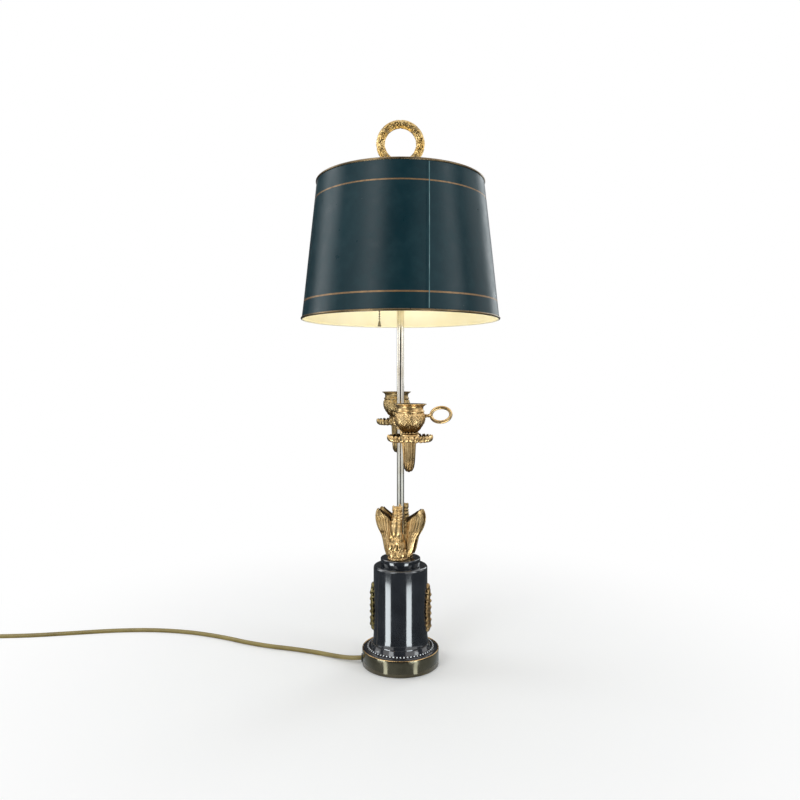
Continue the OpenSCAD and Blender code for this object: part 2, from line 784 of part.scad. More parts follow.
// A loop of wire whose two ends meet in a ball on a stub; it lies in its own XZ plane
module finger_loop(side, loop_turn) {
    wire_r = loop_wire_d / 2;
    half_len = loop_len / 2 - wire_r;
    half_h = loop_h / 2 - wire_r;
    root = loop_reach - loop_len + wire_r;
    ends = 6;
    bends = 26;
    wire = [for (i = [0 : bends])
        let (a = 180 + ends + (360 - 2 * ends) * i / bends) [half_len * (1 + cos(a)), 0, half_h * sin(a)]];
    color(gilt) arm_frame(side) translate([arm_reach, 0, pan_h + loop_z]) rotate(loop_turn) {
        translate([root, 0, 0]) rotate([0, -loop_tilt, 0])
            sweep(wire, [for (p = wire) wire_r], 8, [0, 1, 0]);
        translate([root, 0, 0]) sphere(wire_r + 0.7);
        translate([belly_r - 3.5, 0, 0]) rotate([0, 90, 0])
            cylinder(r = wire_r - 0.4, h = root - belly_r + 3.5);
    }
}

// The front loop points right; the rear one points away from the pole
front_loop_turn = 90 - front_yaw;
rear_loop_turn = -rear_yaw;

module arm_front() { candle_arm("front"); }
module pan_front() { pan("front"); }
module cup_front() { cup("front", front_loop_turn); }
module loop_front() { finger_loop("front", front_loop_turn); }
module stud_front() { stud("front"); }
module arm_rear() { candle_arm("rear"); }
module pan_rear() { pan("rear"); }
module cup_rear() { cup("rear", rear_loop_turn); }
module loop_rear() { finger_loop("rear", rear_loop_turn); }
module stud_rear() { stud("rear"); }

// ---- Lampholders, bulbs and switch ----

module cluster_body() {
    color(polished) difference() {
        translate([0, 0, cluster_z]) rotate_extrude() rounded_profile(cluster_d / 2, cluster_h, 2);
        translate([0, 0, cluster_z - 1]) cylinder(r = pole_r + fit, h = pole_top - cluster_z + 1);
        translate([0, 0, cluster_z]) cylinder(r = wire_r, h = cluster_h);
        translate([0, 0, rod_z]) cylinder(r = rod_r + fit, h = cluster_h);
        for (m = [-1, 1]) translate([m * (cluster_d / 2 - 2.5), 0, port_z])
            rotate([0, m * 90, 0]) cylinder(d = socket_arm_d + 2 * fit, h = 6);
    }
}

module socket_arm(m) {
    outer = socket_arm_d / 2;
    inner = outer - 1.2;
    start = cluster_d / 2 - 2.5;
    bend_x = holder_out - elbow_r;
    color(polished) mirror([m < 0 ? 1 : 0, 0, 0]) {
        translate([start, 0, port_z]) rotate([0, 90, 0]) tube(outer, inner, bend_x - start);
        translate([bend_x, 0, port_z + elbow_r]) rotate([90, 0, 0]) rotate([0, 0, -90])
            rotate_extrude(angle = 90) translate([elbow_r, 0]) difference() {
                circle(outer);
                circle(inner);
            }
    }
}

// A turned shell with a closed bottom; its neck stands on the socket arm's end
module lampholder(m) {
    color(polished) translate([m * holder_out, 0, holder_z]) rotate_extrude() difference() {
        union() {
            square([socket_arm_d / 2 + 2.5, 3]);
            translate([0, 3]) square([holder_r - 2, 5]);
            translate([0, 5]) square([holder_r, holder_h - 5]);
        }
        translate([0, 6.5]) square([holder_r - holder_wall, holder_h]);
        square([1.5, 10]);
    }
}

// Screw cap and the insulator that it stands on
module bulb_cap(m) {
    color(steel) translate([m * holder_out, 0, holder_z + 6.5]) difference() {
        union() {
            cylinder(r = holder_r - holder_wall - fit, h = 7);
            cylinder(d = bulb_cap_d, h = holder_h - 6.5 - 4);
        }
        translate([0, 0, -1]) cylinder(r = 1.5, h = 9);
    }
}

module bulb(m) {
    low = holder_z + holder_h - 4;
    ball_z = holder_z + holder_h + bulb_len - bulb_r;
    neck_r = bulb_cap_d / 2 + 1;
    color([0.96, 0.95, 0.90]) translate([m * holder_out, 0, 0]) difference() {
        union() {
            translate([0, 0, ball_z]) sphere(bulb_r);
            translate([0, 0, low]) cylinder(r = neck_r, h = 6);
            translate([0, 0, low + 4]) cylinder(r1 = neck_r, r2 = 0.86 * bulb_r, h = ball_z - low - 15);
        }
        translate([0, 0, ball_z]) sphere(bulb_r - glass_t);
        translate([0, 0, low - 1]) cylinder(r = neck_r - glass_t, h = 7);
        translate([0, 0, low + 4]) cylinder(r1 = neck_r - glass_t, r2 = 0.86 * bulb_r - glass_t,
            h = ball_z - low - 15);
    }
}

module pull_switch() {
    color(polished) difference() {
        translate([-chain_x, -chain_y, 0]) {
            translate([0, 0, nozzle_z + 6]) cylinder(r = 5.5, h = 13);
            translate([0, 0, nozzle_z]) cylinder(r1 = nozzle_r, r2 = 2.6, h = 7);
        }
        translate([-chain_x, -chain_y, nozzle_z - 1]) cylinder(d = chain_bead_d + 1, h = 12);
        translate([-holder_out, 0, holder_z]) cylinder(r = holder_r + 0.02, h = holder_h);
    }
}

module pull_chain() {
    low = chain_top - (chain_beads - 1) * chain_pitch;
    color(gilt) translate([-chain_x, -chain_y, 0]) {
        for (i = [0 : chain_beads - 1]) translate([0, 0, chain_top - i * chain_pitch])
            sphere(d = chain_bead_d);
        translate([0, 0, low]) cylinder(r = 0.5, h = chain_top - low);
        translate([0, 0, low - bell_len]) {
            cylinder(r1 = 2.4, r2 = 1.3, h = bell_len);
            cylinder(r = 2.4, h = 1.2);
        }
    }
}

// ---- Rod, shade and finial ----

module upper_rod() {
    color(polished) translate([0, 0, rod_z]) cylinder(r = rod_r, h = rod_top - rod_z);
}

module clamp_collar() {
    color(polished) difference() {
        translate([0, 0, clamp_z]) tube(hub_d / 2, rod_r + fit, clamp_h);
        translate([0, 0, thumb_z]) rotate([-90, 0, 0]) cylinder(r = thumb_r + fit, h = hub_d);
    }
}

module thumbscrew() {
    color(gilt) translate([0, rod_r + 0.2, thumb_z]) rotate([-90, 0, 0]) {
        cylinder(r = thumb_r, h = 12);
        translate([0, 0, hub_d / 2 - rod_r + 1]) cylinder(r = 4, h = 3);
        intersection() {
            translate([-8, -1.4, hub_d / 2 - rod_r + 3]) cube([16, 2.8, 11]);
            translate([0, 2, hub_d / 2 - rod_r + 7]) rotate([90, 0, 0]) cylinder(r = 8, h = 4);
        }
    }
}

// Hub and spokes; the spokes' outer ends are let into the upper wired edge
module spider() {
    end_r = shade_r1 - shade_t - 0.1;
    rise = atan2(spider_drop + spoke_d - 1, end_r);
    color(polished) difference() {
        union() {
            translate([0, 0, hub_z]) cylinder(d = hub_d, h = hub_h);
            for (i = [0 : spoke_count - 1]) rotate(spoke_turn + 360 * i / spoke_count)
                translate([0, 0, hub_top - spoke_d]) rotate([0, 90 - rise, 0])
                    cylinder(d = spoke_d, h = end_r / cos(rise));
        }
        translate([0, 0, hub_z - 1]) cylinder(r = rod_r + fit, h = hub_h + 20);
    }
}

module shade_skin() {
    slope = (shade_r1 - shade_r0) / shade_h;
    color([0.11, 0.20, 0.21]) {
        translate([0, 0, shade_z]) rotate_extrude() polygon([
            [shade_r0 - shade_t, 0], [shade_r0, 0], [shade_r1, shade_h], [shade_r1 - shade_t, shade_h]
        ]);
        // the lap of the upright seam
        half = seam_w / shade_r0 * 90 / PI;
        rotate(seam_angle - 90 - half) translate([0, 0, shade_z + rim_d])
            rotate_extrude(angle = 2 * half) polygon([
                [shade_r0 + slope * rim_d - 0.1, 0], [shade_r0 + slope * rim_d + 0.4, 0],
                [shade_r1 - slope * rim_d + 0.4, shade_h - 2 * rim_d],
                [shade_r1 - slope * rim_d - 0.1, shade_h - 2 * rim_d]
            ]);
    }
}

module shade_rim_top() {
    color(old_brass) translate([0, 0, shade_top]) rotate_extrude()
        translate([shade_r1 - shade_t / 2, 0]) circle(rim_r);
}

module shade_rim_bottom() {
    color(old_brass) translate([0, 0, shade_z]) rotate_extrude()
        translate([shade_r0 - shade_t / 2, 0]) circle(rim_r);
}

module finial_base() {
    color(gilt) difference() {
        translate([0, 0, finial_z]) rotate_extrude() polygon([
            [0, 0], [8, 0], [8.6, 1.5], [8, 3], [6.2, 5], [6.2, 8], [8.4, 11], [8.8, 13],
            [7.4, finial_h], [0, finial_h]
        ]);
        translate([0, 0, finial_z - 1]) cylinder(r = rod_r + fit, h = finial_socket + 1);
        translate([0, 0, finial_top - stem_deep]) cylinder(r = stem_r + fit, h = stem_deep + 1);
        translate([0, 0, wreath_z]) rotate([90, 0, 0]) cylinder(d = wreath_d + 0.2, h = 40, center = true);
    }
}

// Laurel wreath: overlapping pairs of leaves on a round core, with berries and crossed ribbons
module wreath() {
    step = 360 / leaf_count;
    band = wreath_band / 2;
    deep = wreath_t / 2;
    color(gilt) {
        translate([0, 0, wreath_z]) rotate([90, 0, 0]) {
            rotate_extrude($fn = 36) translate([wreath_r, 0]) circle(band - 2.2, $fn = 8);
            for (i = [0 : leaf_count - 1]) rotate(i * step) {
                for (m = [-1, 1]) hull() {
                    translate([wreath_r + m * 1.5, 0, m * 1]) sphere(deep - 1, $fn = 6);
                    rotate(1.25 * step) translate([wreath_r + m * (band - 1.2), 0, 0]) sphere(1.1, $fn = 6);
                }
            }
        }
        translate([0, 0, finial_top - stem_deep]) cylinder(r = stem_r, h = stem_deep + 4, $fn = 32);
    }
}

// ---- Cord and plug ----

// The cord's route on the surface, from the bushing to the coil, chosen by hand
cord_route = [
    [-52, 0, 6.6], [-66, 0, 6.2], [-82, 8, 4.2], [-100, 18, 3.1], [-122, 28, 3], [-156, 40, 3],
    [-193, 51, 3], [-230, 66, 3], [-266, 84, 3], [-320, 104, 3], [-380, 114, 3], [-440, 112, 3],
    [-500, 102, 3], [-560, 92, 3], [-620, 88, 3], [-680, 88, 3]
];
coil_pitch = cord_d + coil_gap;
coil_mid = coil_turns / 2;
coil_out_r = coil_r + coil_pitch * coil_mid;
cord_end = cord_route[len(cord_route) - 1];
coil_x = cord_end[0] - cord_d;
coil_y = cord_end[1] + coil_out_r;
coil_rings = 24;

// The coil winds in on the surface, climbs one layer in its middle half turn and winds out again
function coil_point(t) =
    let (
        r = coil_r + coil_pitch * abs(t - coil_mid),
        a = -90 - 360 * t,
        climb = min(1, max(0, 2 * (t - coil_mid) + 0.5))
    )
    [coil_x + r * cos(a), coil_y + r * sin(a), cord_r + coil_pitch * climb];

coil_steps = coil_turns * coil_rings;
coil_last = coil_point(coil_turns);
plug_start = coil_last + [0, 2 * cord_d, 0];
coil_path = concat(
    [cord_end], [for (i = [0 : coil_steps]) coil_point(i / coil_rings)], [plug_start]
);

// Least gap of the coil to itself, over points half a turn or more apart
coil_self_gap = min([for (i = [0 : 2 : coil_steps], j = [i + coil_rings / 2 : coil_steps])
    norm(coil_point(i / coil_rings) - coil_point(j / coil_rings))]) - cord_d;
run_path = smooth(cord_route, 3);
echo(coil_self_gap = coil_self_gap, run_length = path_length(run_path), coil_length = path_length(coil_path));

module cord_run() {
    color([0.52, 0.47, 0.30]) sweep(run_path, [for (p = run_path) cord_r], 8);
}

module cord_coil() {
    color([0.52, 0.47, 0.30]) sweep(coil_path, [for (p = coil_path) cord_r], 6);
}

// The plug lies flat: its middle is as high as the coil's upper layer
plug_half_h = plug_start[2];

module plug_body() {
    color(black) translate(plug_start) rotate([-90, 0, 0]) difference() {
        union() {
            cylinder(r1 = cord_r + 0.4, r2 = cord_r + 3, h = relief_len);
            translate([0, 0, relief_len - 1]) linear_extrude(plug_len) {
                for (m = [-1, 1]) translate([m * (plug_w / 2 - 4), 0])
                    for (n = [-1, 1]) translate([0, n * (plug_half_h - 4)]) circle(4);
                square([plug_w - 8, 2 * plug_half_h], center = true);
                square([plug_w, 2 * plug_half_h - 8], center = true);
            }
        }
        for (m = [-1, 1]) translate([m * pin_gap / 2, 0, relief_len + plug_len - 9])
            cylinder(d = pin_d + 2 * fit, h = 10);
    }
}

module plug_pins() {
    color(steel) translate(plug_start) rotate([-90, 0, 0])
        for (m = [-1, 1]) translate([m * pin_gap / 2, 0, relief_len + plug_len - 9]) {
            cylinder(d = pin_d, h = 8 + pin_len - 1);
            translate([0, 0, 8 + pin_len - 1]) cylinder(d1 = pin_d, d2 = pin_d - 1.4, h = 1);
        }
}

// ---- One line a node ----

base_shell();
felt_pad();
base_weight();
top_plate();
bead_ring();
column_foot();
column();
column_cap();
tie_rod();
tie_nut();
tie_washer();
cord_bushing();
inner_lead();
plaque_left();
plaque_right();
plaque_nails();
swan_plinth();
swan_front();
swan_rear();
swan_screws();
pole();
stop_collar();
stop_screw();
arm_front();
pan_front();
cup_front();
loop_front();
stud_front();
arm_rear();
pan_rear();
cup_rear();
loop_rear();
stud_rear();
cluster_body();
socket_arm(-1);  // socket_arm_left
socket_arm(1);  // socket_arm_right
lampholder(-1);  // lampholder_left
lampholder(1);  // lampholder_right
bulb(-1);  // bulb_left
bulb(1);  // bulb_right
bulb_cap(-1);  // bulb_cap_left
bulb_cap(1);  // bulb_cap_right
pull_switch();
pull_chain();
upper_rod();
clamp_collar();
thumbscrew();
spider();
shade_skin();
shade_rim_top();
shade_rim_bottom();
finial_base();
wreath();
cord_run();
cord_coil();
plug_body();
plug_pins();
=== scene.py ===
"""Bouillotte lamp: cast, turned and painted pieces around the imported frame.

Shapes are worked out in millimetres, in the part's own frame, and scaled when a mesh is made.
"""
import math
from math import cos, exp, pi, radians, sin, sqrt

import bmesh
import bpy
import numpy as np
from mathutils import Matrix, Vector


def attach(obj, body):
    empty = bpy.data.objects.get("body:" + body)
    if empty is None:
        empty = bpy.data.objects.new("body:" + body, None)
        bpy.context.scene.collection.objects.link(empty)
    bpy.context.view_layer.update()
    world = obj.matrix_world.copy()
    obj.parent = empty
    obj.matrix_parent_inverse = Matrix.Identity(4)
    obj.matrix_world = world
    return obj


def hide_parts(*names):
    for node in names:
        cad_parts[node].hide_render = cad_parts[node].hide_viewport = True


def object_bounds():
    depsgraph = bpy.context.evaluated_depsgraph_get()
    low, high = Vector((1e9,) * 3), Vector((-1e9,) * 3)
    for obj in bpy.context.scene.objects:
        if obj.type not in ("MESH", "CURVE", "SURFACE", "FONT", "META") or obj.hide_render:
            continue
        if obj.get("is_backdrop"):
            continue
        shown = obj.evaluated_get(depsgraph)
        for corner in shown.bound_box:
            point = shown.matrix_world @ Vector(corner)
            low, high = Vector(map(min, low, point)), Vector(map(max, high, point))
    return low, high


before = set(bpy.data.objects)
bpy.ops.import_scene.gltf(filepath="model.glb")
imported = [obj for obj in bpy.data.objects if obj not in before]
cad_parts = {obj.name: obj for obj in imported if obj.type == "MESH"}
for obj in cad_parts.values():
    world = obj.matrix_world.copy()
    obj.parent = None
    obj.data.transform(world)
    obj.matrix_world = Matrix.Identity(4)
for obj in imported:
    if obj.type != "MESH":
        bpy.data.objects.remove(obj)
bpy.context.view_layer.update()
MM = 0.001
TAU = 2 * pi
shift = Matrix.Translation

# ---- Sizes, as in the part's source ----
BASE_R, BASE_H, PLATE_TOP = 52.75, 22.4, 21.6
COLUMN_R, COLUMN_Z, CAP_Z, CAP_R = 37.2, 29.3, 135.0, 27.4
PLINTH_Z, PLINTH_TOP = 145.5, 149.1
POLE_R, POLE_BORE_R, POLE_TOP = 5.0, 4.05, 500.1
TIE_BORE_R = 4.1
BEAD_RING_R, BEADS = 44, 60
SEAT_Z = {"front": 313.0, "rear": 326.5}
YAW = {"front": -79.3, "rear": 95.0}
LOOP_TURN = {"front": 79.3, "rear": -5.0}
REACH, PAN_H = 66.6, 7.5
COLLAR_RISE, COLLAR_R, COLLAR_H, HORN_DROP = 20.25, 9.5, 13.0, 36.2
BELLY_R, LIP_R, BORE_R, FOOT_R = 18.8, 21.4, 11.2, 9.9
PETALS = 24
SHADE_Z, SHADE_H, SHADE_R0, SHADE_R1, SHADE_T, RIM_R = 474.0, 186.5, 135.5, 115.2, 0.8, 1.6
SHADE_TOP = SHADE_Z + SHADE_H
SEAM_AT = radians(15 - 90)
SEAM_LEAN = 3.1
GOLD_LINES = ((495.3, 497.4), (633.5, 635.3))
HOLDER_X, BULB_Z, BULB_R, BULB_TOP = 36.0, 546.1, 22.0, 598.1
CHAIN_AT, CHAIN_TOP, CHAIN_PITCH, CHAIN_BALLS = (-28.6, -17), 516.1, 3.3, 15
WREATH_Z, WREATH_R = 716.25, 27.5
PLAQUE_Z, PLAQUE_H, PLAQUE_TURN = 44.3, 66.0, -6.0
SWAN_TURN, SWAN_H, WING_SPAN = -19.0, 68.5, 35.0
CORD_R, CORD_LENGTH = 3.0, 1.815
CORD_ROUTE = [
    (-52, 0, 6.6), (-66, 0, 6.2), (-82, 8, 4.2), (-100, 18, 3.1), (-122, 28, 3), (-156, 40, 3),
    (-193, 51, 3), (-230, 66, 3), (-266, 84, 3), (-320, 104, 3), (-380, 114, 3), (-440, 112, 3),
    (-500, 102, 3), (-560, 92, 3), (-620, 88, 3), (-680, 88, 3),
]
COIL_R, COIL_PITCH, COIL_TURNS, COIL_RINGS = 26.0, 6.7, 5.25, 24


# ---- Shapes ----

MERGE, SLIVER = 0.002, 0.0005
VEINS = 5


def placed(name, data):
    """A new object in the scene."""
    obj = bpy.data.objects.new(name, data)
    bpy.context.scene.collection.objects.link(obj)
    return obj


def polar(r, a, z=0):
    return Vector((r * cos(a), r * sin(a), z))


class Shape:
    """Vertices, faces and each face's material number."""

    def __init__(self, *parts):
        self.v, self.f, self.m = [], [], []
        for part in parts:
            self.add(part)

    def add(self, part, mat=0, place=None):
        verts, faces = part[:2]
        base = len(self.v)
        self.v += [tuple(place @ Vector(p)) if place else tuple(p) for p in verts]
        self.f += [tuple(i + base for i in f) for f in faces]
        self.m += [mat] * len(faces)
        return self

    def moved(self, place):
        made = Shape()
        made.v = [tuple(place @ Vector(p)) for p in self.v]
        made.f, made.m = list(self.f), list(self.m)
        return made

    def join(self, other):
        base = len(self.v)
        self.v += other.v
        self.f += [tuple(i + base for i in f) for f in other.f]
        self.m += other.m
        return self


def skin(rows, ends=True, loop=False):
    """Quads between rows of points; each row closes on itself."""
    n, count = len(rows[0]), len(rows)
    verts = [p for row in rows for p in row]
    faces = []
    for i in range(count if loop else count - 1):
        a, b = i * n, ((i + 1) % count) * n
        faces += [(a + k, a + (k + 1) % n, b + (k + 1) % n, b + k) for k in range(n)]
    if ends and not loop:
        faces.append(tuple(reversed(range(n))))
        faces.append(tuple((count - 1) * n + k for k in range(n)))
    return verts, faces


def curve(points, steps):
    """A smooth curve through the points, drawn as the part's source draws it."""
    pts, out = [Vector(p) for p in points], []
    n = len(pts)
    for i in range(n - 1):
        a, b, c, d = pts[max(i - 1, 0)], pts[i], pts[i + 1], pts[min(i + 2, n - 1)]
        for s in range(steps + (1 if i == n - 2 else 0)):
            t = s / steps
            out.append(0.5 * ((2 * b) + (c - a) * t + (2 * a - 5 * b + 4 * c - d) * t * t
                              + (3 * b - a - 3 * c + d) * t ** 3))
    return out


def directions(path, loop=False):
    n = len(path)
    if loop:
        return [(path[(i + 1) % n] - path[i - 1]).normalized() for i in range(n)]
    return [(path[min(i + 1, n - 1)] - path[max(i - 1, 0)]).normalized() for i in range(n)]


def spread(values, count):
    """Values, spread evenly over count places."""
    return np.interp(np.linspace(0, 1, count), np.linspace(0, 1, len(values)), values).tolist()


def tube(path, radii, sides=16, ref=(0, 0, 1), wave=None, loop=False, flat=1.0):
    """A round bar along path; wave changes its radius by place and angle, and flat its width."""
    path = [Vector(p) for p in path]
    radii, ref, rows = spread(radii, len(path)), Vector(ref), []
    for i, (p, d) in enumerate(zip(path, directions(path, loop))):
        e1 = ref.cross(d).normalized()
        e2 = d.cross(e1)
        row = []
        for k in range(sides):
            a = TAU * k / sides
            r = radii[i] * (wave(i / (len(path) - 1), a) if wave else 1)
            row.append(p + r * cos(a) * e1 * flat + r * sin(a) * e2)
        rows.append(row)
    return skin(rows, loop=loop)


def lathe(profile, seg=96, loop=False, relief=None):
    """A profile turned round Z; relief raises the surface by angle and height."""
    rows = []
    for r, z in profile:
        row = []
        for k in range(seg):
            a = TAU * k / seg
            row.append(polar(r + (relief(a, z) if relief and r > 0 else 0), a, z))
        rows.append(row)
    return skin(rows, ends=False, loop=loop)


def ball(centre, radii, seg=16):
    rx, ry, rz = radii if hasattr(radii, "__len__") else (radii,) * 3
    rows, half = [], seg // 2
    for i in range(half + 1):
        b = pi * (i / half - 0.5)
        rows.append([Vector((centre[0] + rx * cos(b) * cos(TAU * k / seg),
                             centre[1] + ry * cos(b) * sin(TAU * k / seg),
                             centre[2] + rz * sin(b))) for k in range(seg)])
    return skin(rows, ends=False)


def blade(path, looks, widths, thick, steps=4, across=8, rib=0.0, cup=0.0, veins=0.0):
    """A leaf or feather along path. Its front looks along looks, its edges are widths from its middle."""
    pts = curve(path, steps)
    faces = curve(looks, steps) if len(looks) == len(path) else [Vector(looks[0])] * len(pts)
    half = spread(widths, len(pts))
    rows = []
    for i, (p, d) in enumerate(zip(pts, directions(pts))):
        t = i / (len(pts) - 1)
        face = (faces[i] - d * faces[i].dot(d)).normalized()
        side = d.cross(face)
        row = []
        for j in range(2 * across):
            front = j <= across
            s = -1 + 2 * j / across if front else 3 - 2 * j / across
            if front:
                high = thick * sqrt(max(0, 1 - s * s)) + rib * exp(-(s / 0.2) ** 2) \
                    + veins * cos(TAU * (VEINS * t - 0.9 * abs(s))) * (1 - s * s)
            else:
                high = -0.5 * thick * sqrt(max(0, 1 - s * s))
            row.append(p + side * (half[i] * s) + face * (high - cup * half[i] * s * s))
        rows.append(row)
    return skin(rows)


def clean_mesh(name, shape):
    me = bpy.data.meshes.new(name)
    me.from_pydata([(x * MM, y * MM, z * MM) for x, y, z in shape.v], [], shape.f)
    me.polygons.foreach_set("material_index", shape.m)
    bm = bmesh.new()
    bm.from_mesh(me)
    bmesh.ops.remove_doubles(bm, verts=bm.verts, dist=MERGE * MM)
    bmesh.ops.dissolve_degenerate(bm, edges=bm.edges, dist=SLIVER * MM)
    bmesh.ops.recalc_face_normals(bm, faces=bm.faces)
    bm.to_mesh(me)
    bm.free()
    return me


def fuse(shape, voxel, rounds):
    """One cast skin round shapes that overlap, made even in some rounds."""
    obj = placed("fuse", clean_mesh("fuse", shape))
    remesh = obj.modifiers.new("skin", "REMESH")
    remesh.mode, remesh.voxel_size = "VOXEL", voxel * MM
    even = obj.modifiers.new("even", "SMOOTH")
    even.factor, even.iterations = 0.5, rounds
    made = bpy.data.meshes.new_from_object(obj.evaluated_get(bpy.context.evaluated_depsgraph_get()))
    out = Shape()
    out.v = [tuple(v.co / MM) for v in made.vertices]
    out.f = [tuple(p.vertices) for p in made.polygons]
    out.m = [0] * len(out.f)
    bpy.data.objects.remove(obj)
    return out


def piece(name, shape, metals, replaced, sharp=40, body="stand"):
    """A named piece of the visual model that rides on a body and stands for the node it replaces."""
    me = clean_mesh(name, shape)
    for metal in metals if isinstance(metals, list) else [metals]:
        me.materials.append(metal)
    me.shade_smooth()
    me.set_sharp_from_angle(angle=radians(sharp))
    obj = placed(name, me)
    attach(obj, body)
    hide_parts(replaced)
    return obj


def turned(angle, at=(0, 0, 0)):
    return shift(at) @ Matrix.Rotation(radians(angle), 4, "Z")


# ---- Materials ----

def srgb(r, g, b):
    def lin(c):
        c /= 255
        return c / 12.92 if c <= 0.04045 else ((c + 0.055) / 1.055) ** 2.4
    return (lin(r), lin(g), lin(b), 1.0)


def feed(node, **ins):
    """Values or links for a node's inputs, which are given by name, or by number as i0."""
    for key, value in ins.items():
        socket = node.inputs[int(key[1:]) if key[1:].isdigit() else key.replace("_", " ")]
        if isinstance(value, bpy.types.NodeSocket):
            node.id_data.links.new(value, socket)
        else:
            socket.default_value = value


def add_node(tree, kind, props=(), **ins):
    node = tree.nodes.new(kind)
    for key, value in dict(props).items():
        setattr(node, key, value)
    feed(node, **ins)
    return node


class Finish:
    """A procedural material round one Principled shader."""

    def __init__(self, name, **sockets):
        self.mat = bpy.data.materials.new(name)
        self.mat.use_nodes = True
        self.tree = self.mat.node_tree
        self.shader = self.tree.nodes["Principled BSDF"]
        self.at = self.add("ShaderNodeTexCoord").outputs["Object"]
        feed(self.shader, **sockets)

    def add(self, kind, props=(), **ins):
        return add_node(self.tree, kind, props, **ins)

    def noise(self, scale, detail=3.0, rough=0.55, stretch=None):
        at = self.at
        if stretch:
            at = self.add("ShaderNodeMapping", Vector=at, Scale=stretch).outputs[0]
        return self.add("ShaderNodeTexNoise", Vector=at, Scale=scale, Detail=detail, Roughness=rough).outputs[0]

    def span(self, value, a, b, c=0.0, d=1.0):
        """The value's range from a to b, mapped to c to d and kept inside it."""
        return self.add("ShaderNodeMapRange", Value=value, From_Min=a, From_Max=b, To_Min=c, To_Max=d).outputs[0]

    def mix(self, share, a, b):
        return self.add("ShaderNodeMix", {"data_type": "RGBA"}, i0=share, i6=a, i7=b).outputs[2]

    def finish(self, color=None, rough=None, bumps=()):
        normal = None
        for height, strength, distance in bumps:
            node = self.add("ShaderNodeBump", Height=height, Strength=strength, Distance=distance)
            if normal:
                feed(node, Normal=normal)
            normal = node.outputs[0]
        given = {"Base_Color": color, "Roughness": rough, "Normal": normal}
        feed(self.shader, **{key: value for key, value in given.items() if value})
        return self.mat


def cast_gilt(name, gold, pale, deep, shine, gaps=(0.85, 0.30), painted_shade_end=None):
    """A gilded casting, darkened in its hollows by ambient occlusion: dark patina and painted shade. The last
    argument, when given, holds the heights where a painted shade starts and ends to go brown.
    """
    f = Finish(name, Metallic=1.0, Specular_IOR_Level=0.5)
    cloud, grain, pits = f.noise(70, 4), f.noise(900, 3), f.noise(2600, 2)
    open_ = f.add("ShaderNodeAmbientOcclusion", {"samples": 6}, Distance=0.004).outputs[1]
    tone = f.mix(f.span(cloud, 0.35, 0.68), srgb(*gold), srgb(*pale))
    # dark patina and painted shade in the hollows, from ambient occlusion
    tone = f.mix(f.span(open_, *gaps), tone, srgb(*deep))
    # painted shade: brown towards the lower end, between the given heights
    if painted_shade_end:
        height = f.add("ShaderNodeSeparateXYZ", Vector=f.at).outputs[2]
        tone = f.mix(f.span(height, *painted_shade_end, 0, 0.8), tone, srgb(84, 58, 26))
    rough = f.add("ShaderNodeMath", {"operation": "ADD"}, i0=f.span(grain, 0.3, 0.7, shine - 0.06, shine + 0.10),
                  i1=f.span(open_, 0.9, 0.3, 0, 0.3)).outputs[0]
    return f.finish(tone, rough, [(grain, 0.12, 0.0004), (pits, 0.06, 0.0002)])


def plain_metal(name, tone, dull, shine, streak=(1, 1, 1)):
    f = Finish(name, Metallic=1.0)
    cloud, line = f.noise(45, 4), f.noise(260, 3, stretch=streak)
    color = f.mix(f.span(cloud, 0.42, 0.75), srgb(*tone), srgb(*dull))
    return f.finish(color, f.span(line, 0.3, 0.7, shine - 0.05, shine + 0.08), [(line, 0.03, 0.0003)])


def lacquer():
    """Gloss black with a trace of brush strokes and dust."""
    f = Finish("black_lacquer", Coat_Weight=1.0, Coat_Roughness=0.06, Specular_IOR_Level=0.7)
    cloud, dust, brush = f.noise(30, 4), f.noise(1500, 2), f.noise(160, 3, stretch=(1, 1, 0.06))
    color = f.mix(f.span(cloud, 0.35, 0.7), srgb(28, 31, 36), srgb(40, 44, 50))
    color = f.mix(f.span(dust, 0.71, 0.78, 0, 0.25), color, srgb(70, 70, 68))
    return f.finish(color, f.span(cloud, 0.3, 0.7, 0.10, 0.16), [(brush, 0.03, 0.0006)])


def tin_paint():
    """Semi-gloss teal paint on sheet metal, with small scuffs."""
    f = Finish("painted_tin_outside", Specular_IOR_Level=0.24)
    cloud, mottle, orange = f.noise(9, 4), f.noise(60, 5, 0.62), f.noise(700, 2)
    color = f.mix(f.span(cloud, 0.3, 0.72), srgb(6, 40, 48), srgb(12, 48, 56))
    color = f.mix(f.span(mottle, 0.48, 0.72, 0, 0.5), color, srgb(20, 56, 63))
    scuff = f.noise(48, 6, 0.75, stretch=(1, 1, 0.5))
    color = f.mix(f.span(scuff, 0.72, 0.76, 0, 0.8), color, srgb(150, 168, 164))
    return f.finish(color, f.span(mottle, 0.3, 0.75, 0.27, 0.4), [(orange, 0.05, 0.0003), (cloud, 0.12, 0.002)])


def enamel_inside():
    """Cream enamel."""
    f = Finish("painted_tin_inside", Roughness=0.45)
    cloud = f.noise(14, 4)
    return f.finish(f.mix(f.span(cloud, 0.35, 0.7), srgb(252, 247, 224), srgb(246, 238, 206)), None,
                    [(f.noise(600, 2), 0.04, 0.0003)])


def gold_line():
    """Gold paint, worn through to the teal in places."""
    f = Finish("gold_line", Metallic=0.4)
    worn = f.noise(120, 5, 0.7)
    color = f.mix(f.span(worn, 0.35, 0.65), srgb(146, 114, 76), srgb(116, 90, 62))
    color = f.mix(f.span(worn, 0.68, 0.74), color, srgb(40, 58, 56))
    return f.finish(color, f.span(worn, 0.3, 0.7, 0.3, 0.5))


def dull_finish(name, a, b, scale, rough, bump_scale, bump, **sockets):
    f = Finish(name, **sockets)
    cloud = f.noise(scale, 4)
    grain = f.noise(bump_scale, 3)
    return f.finish(f.mix(f.span(cloud, 0.35, 0.68), srgb(*a), srgb(*b)),
                    f.span(grain, 0.3, 0.7, rough - 0.06, rough + 0.06), [(grain, bump, 0.0004)])


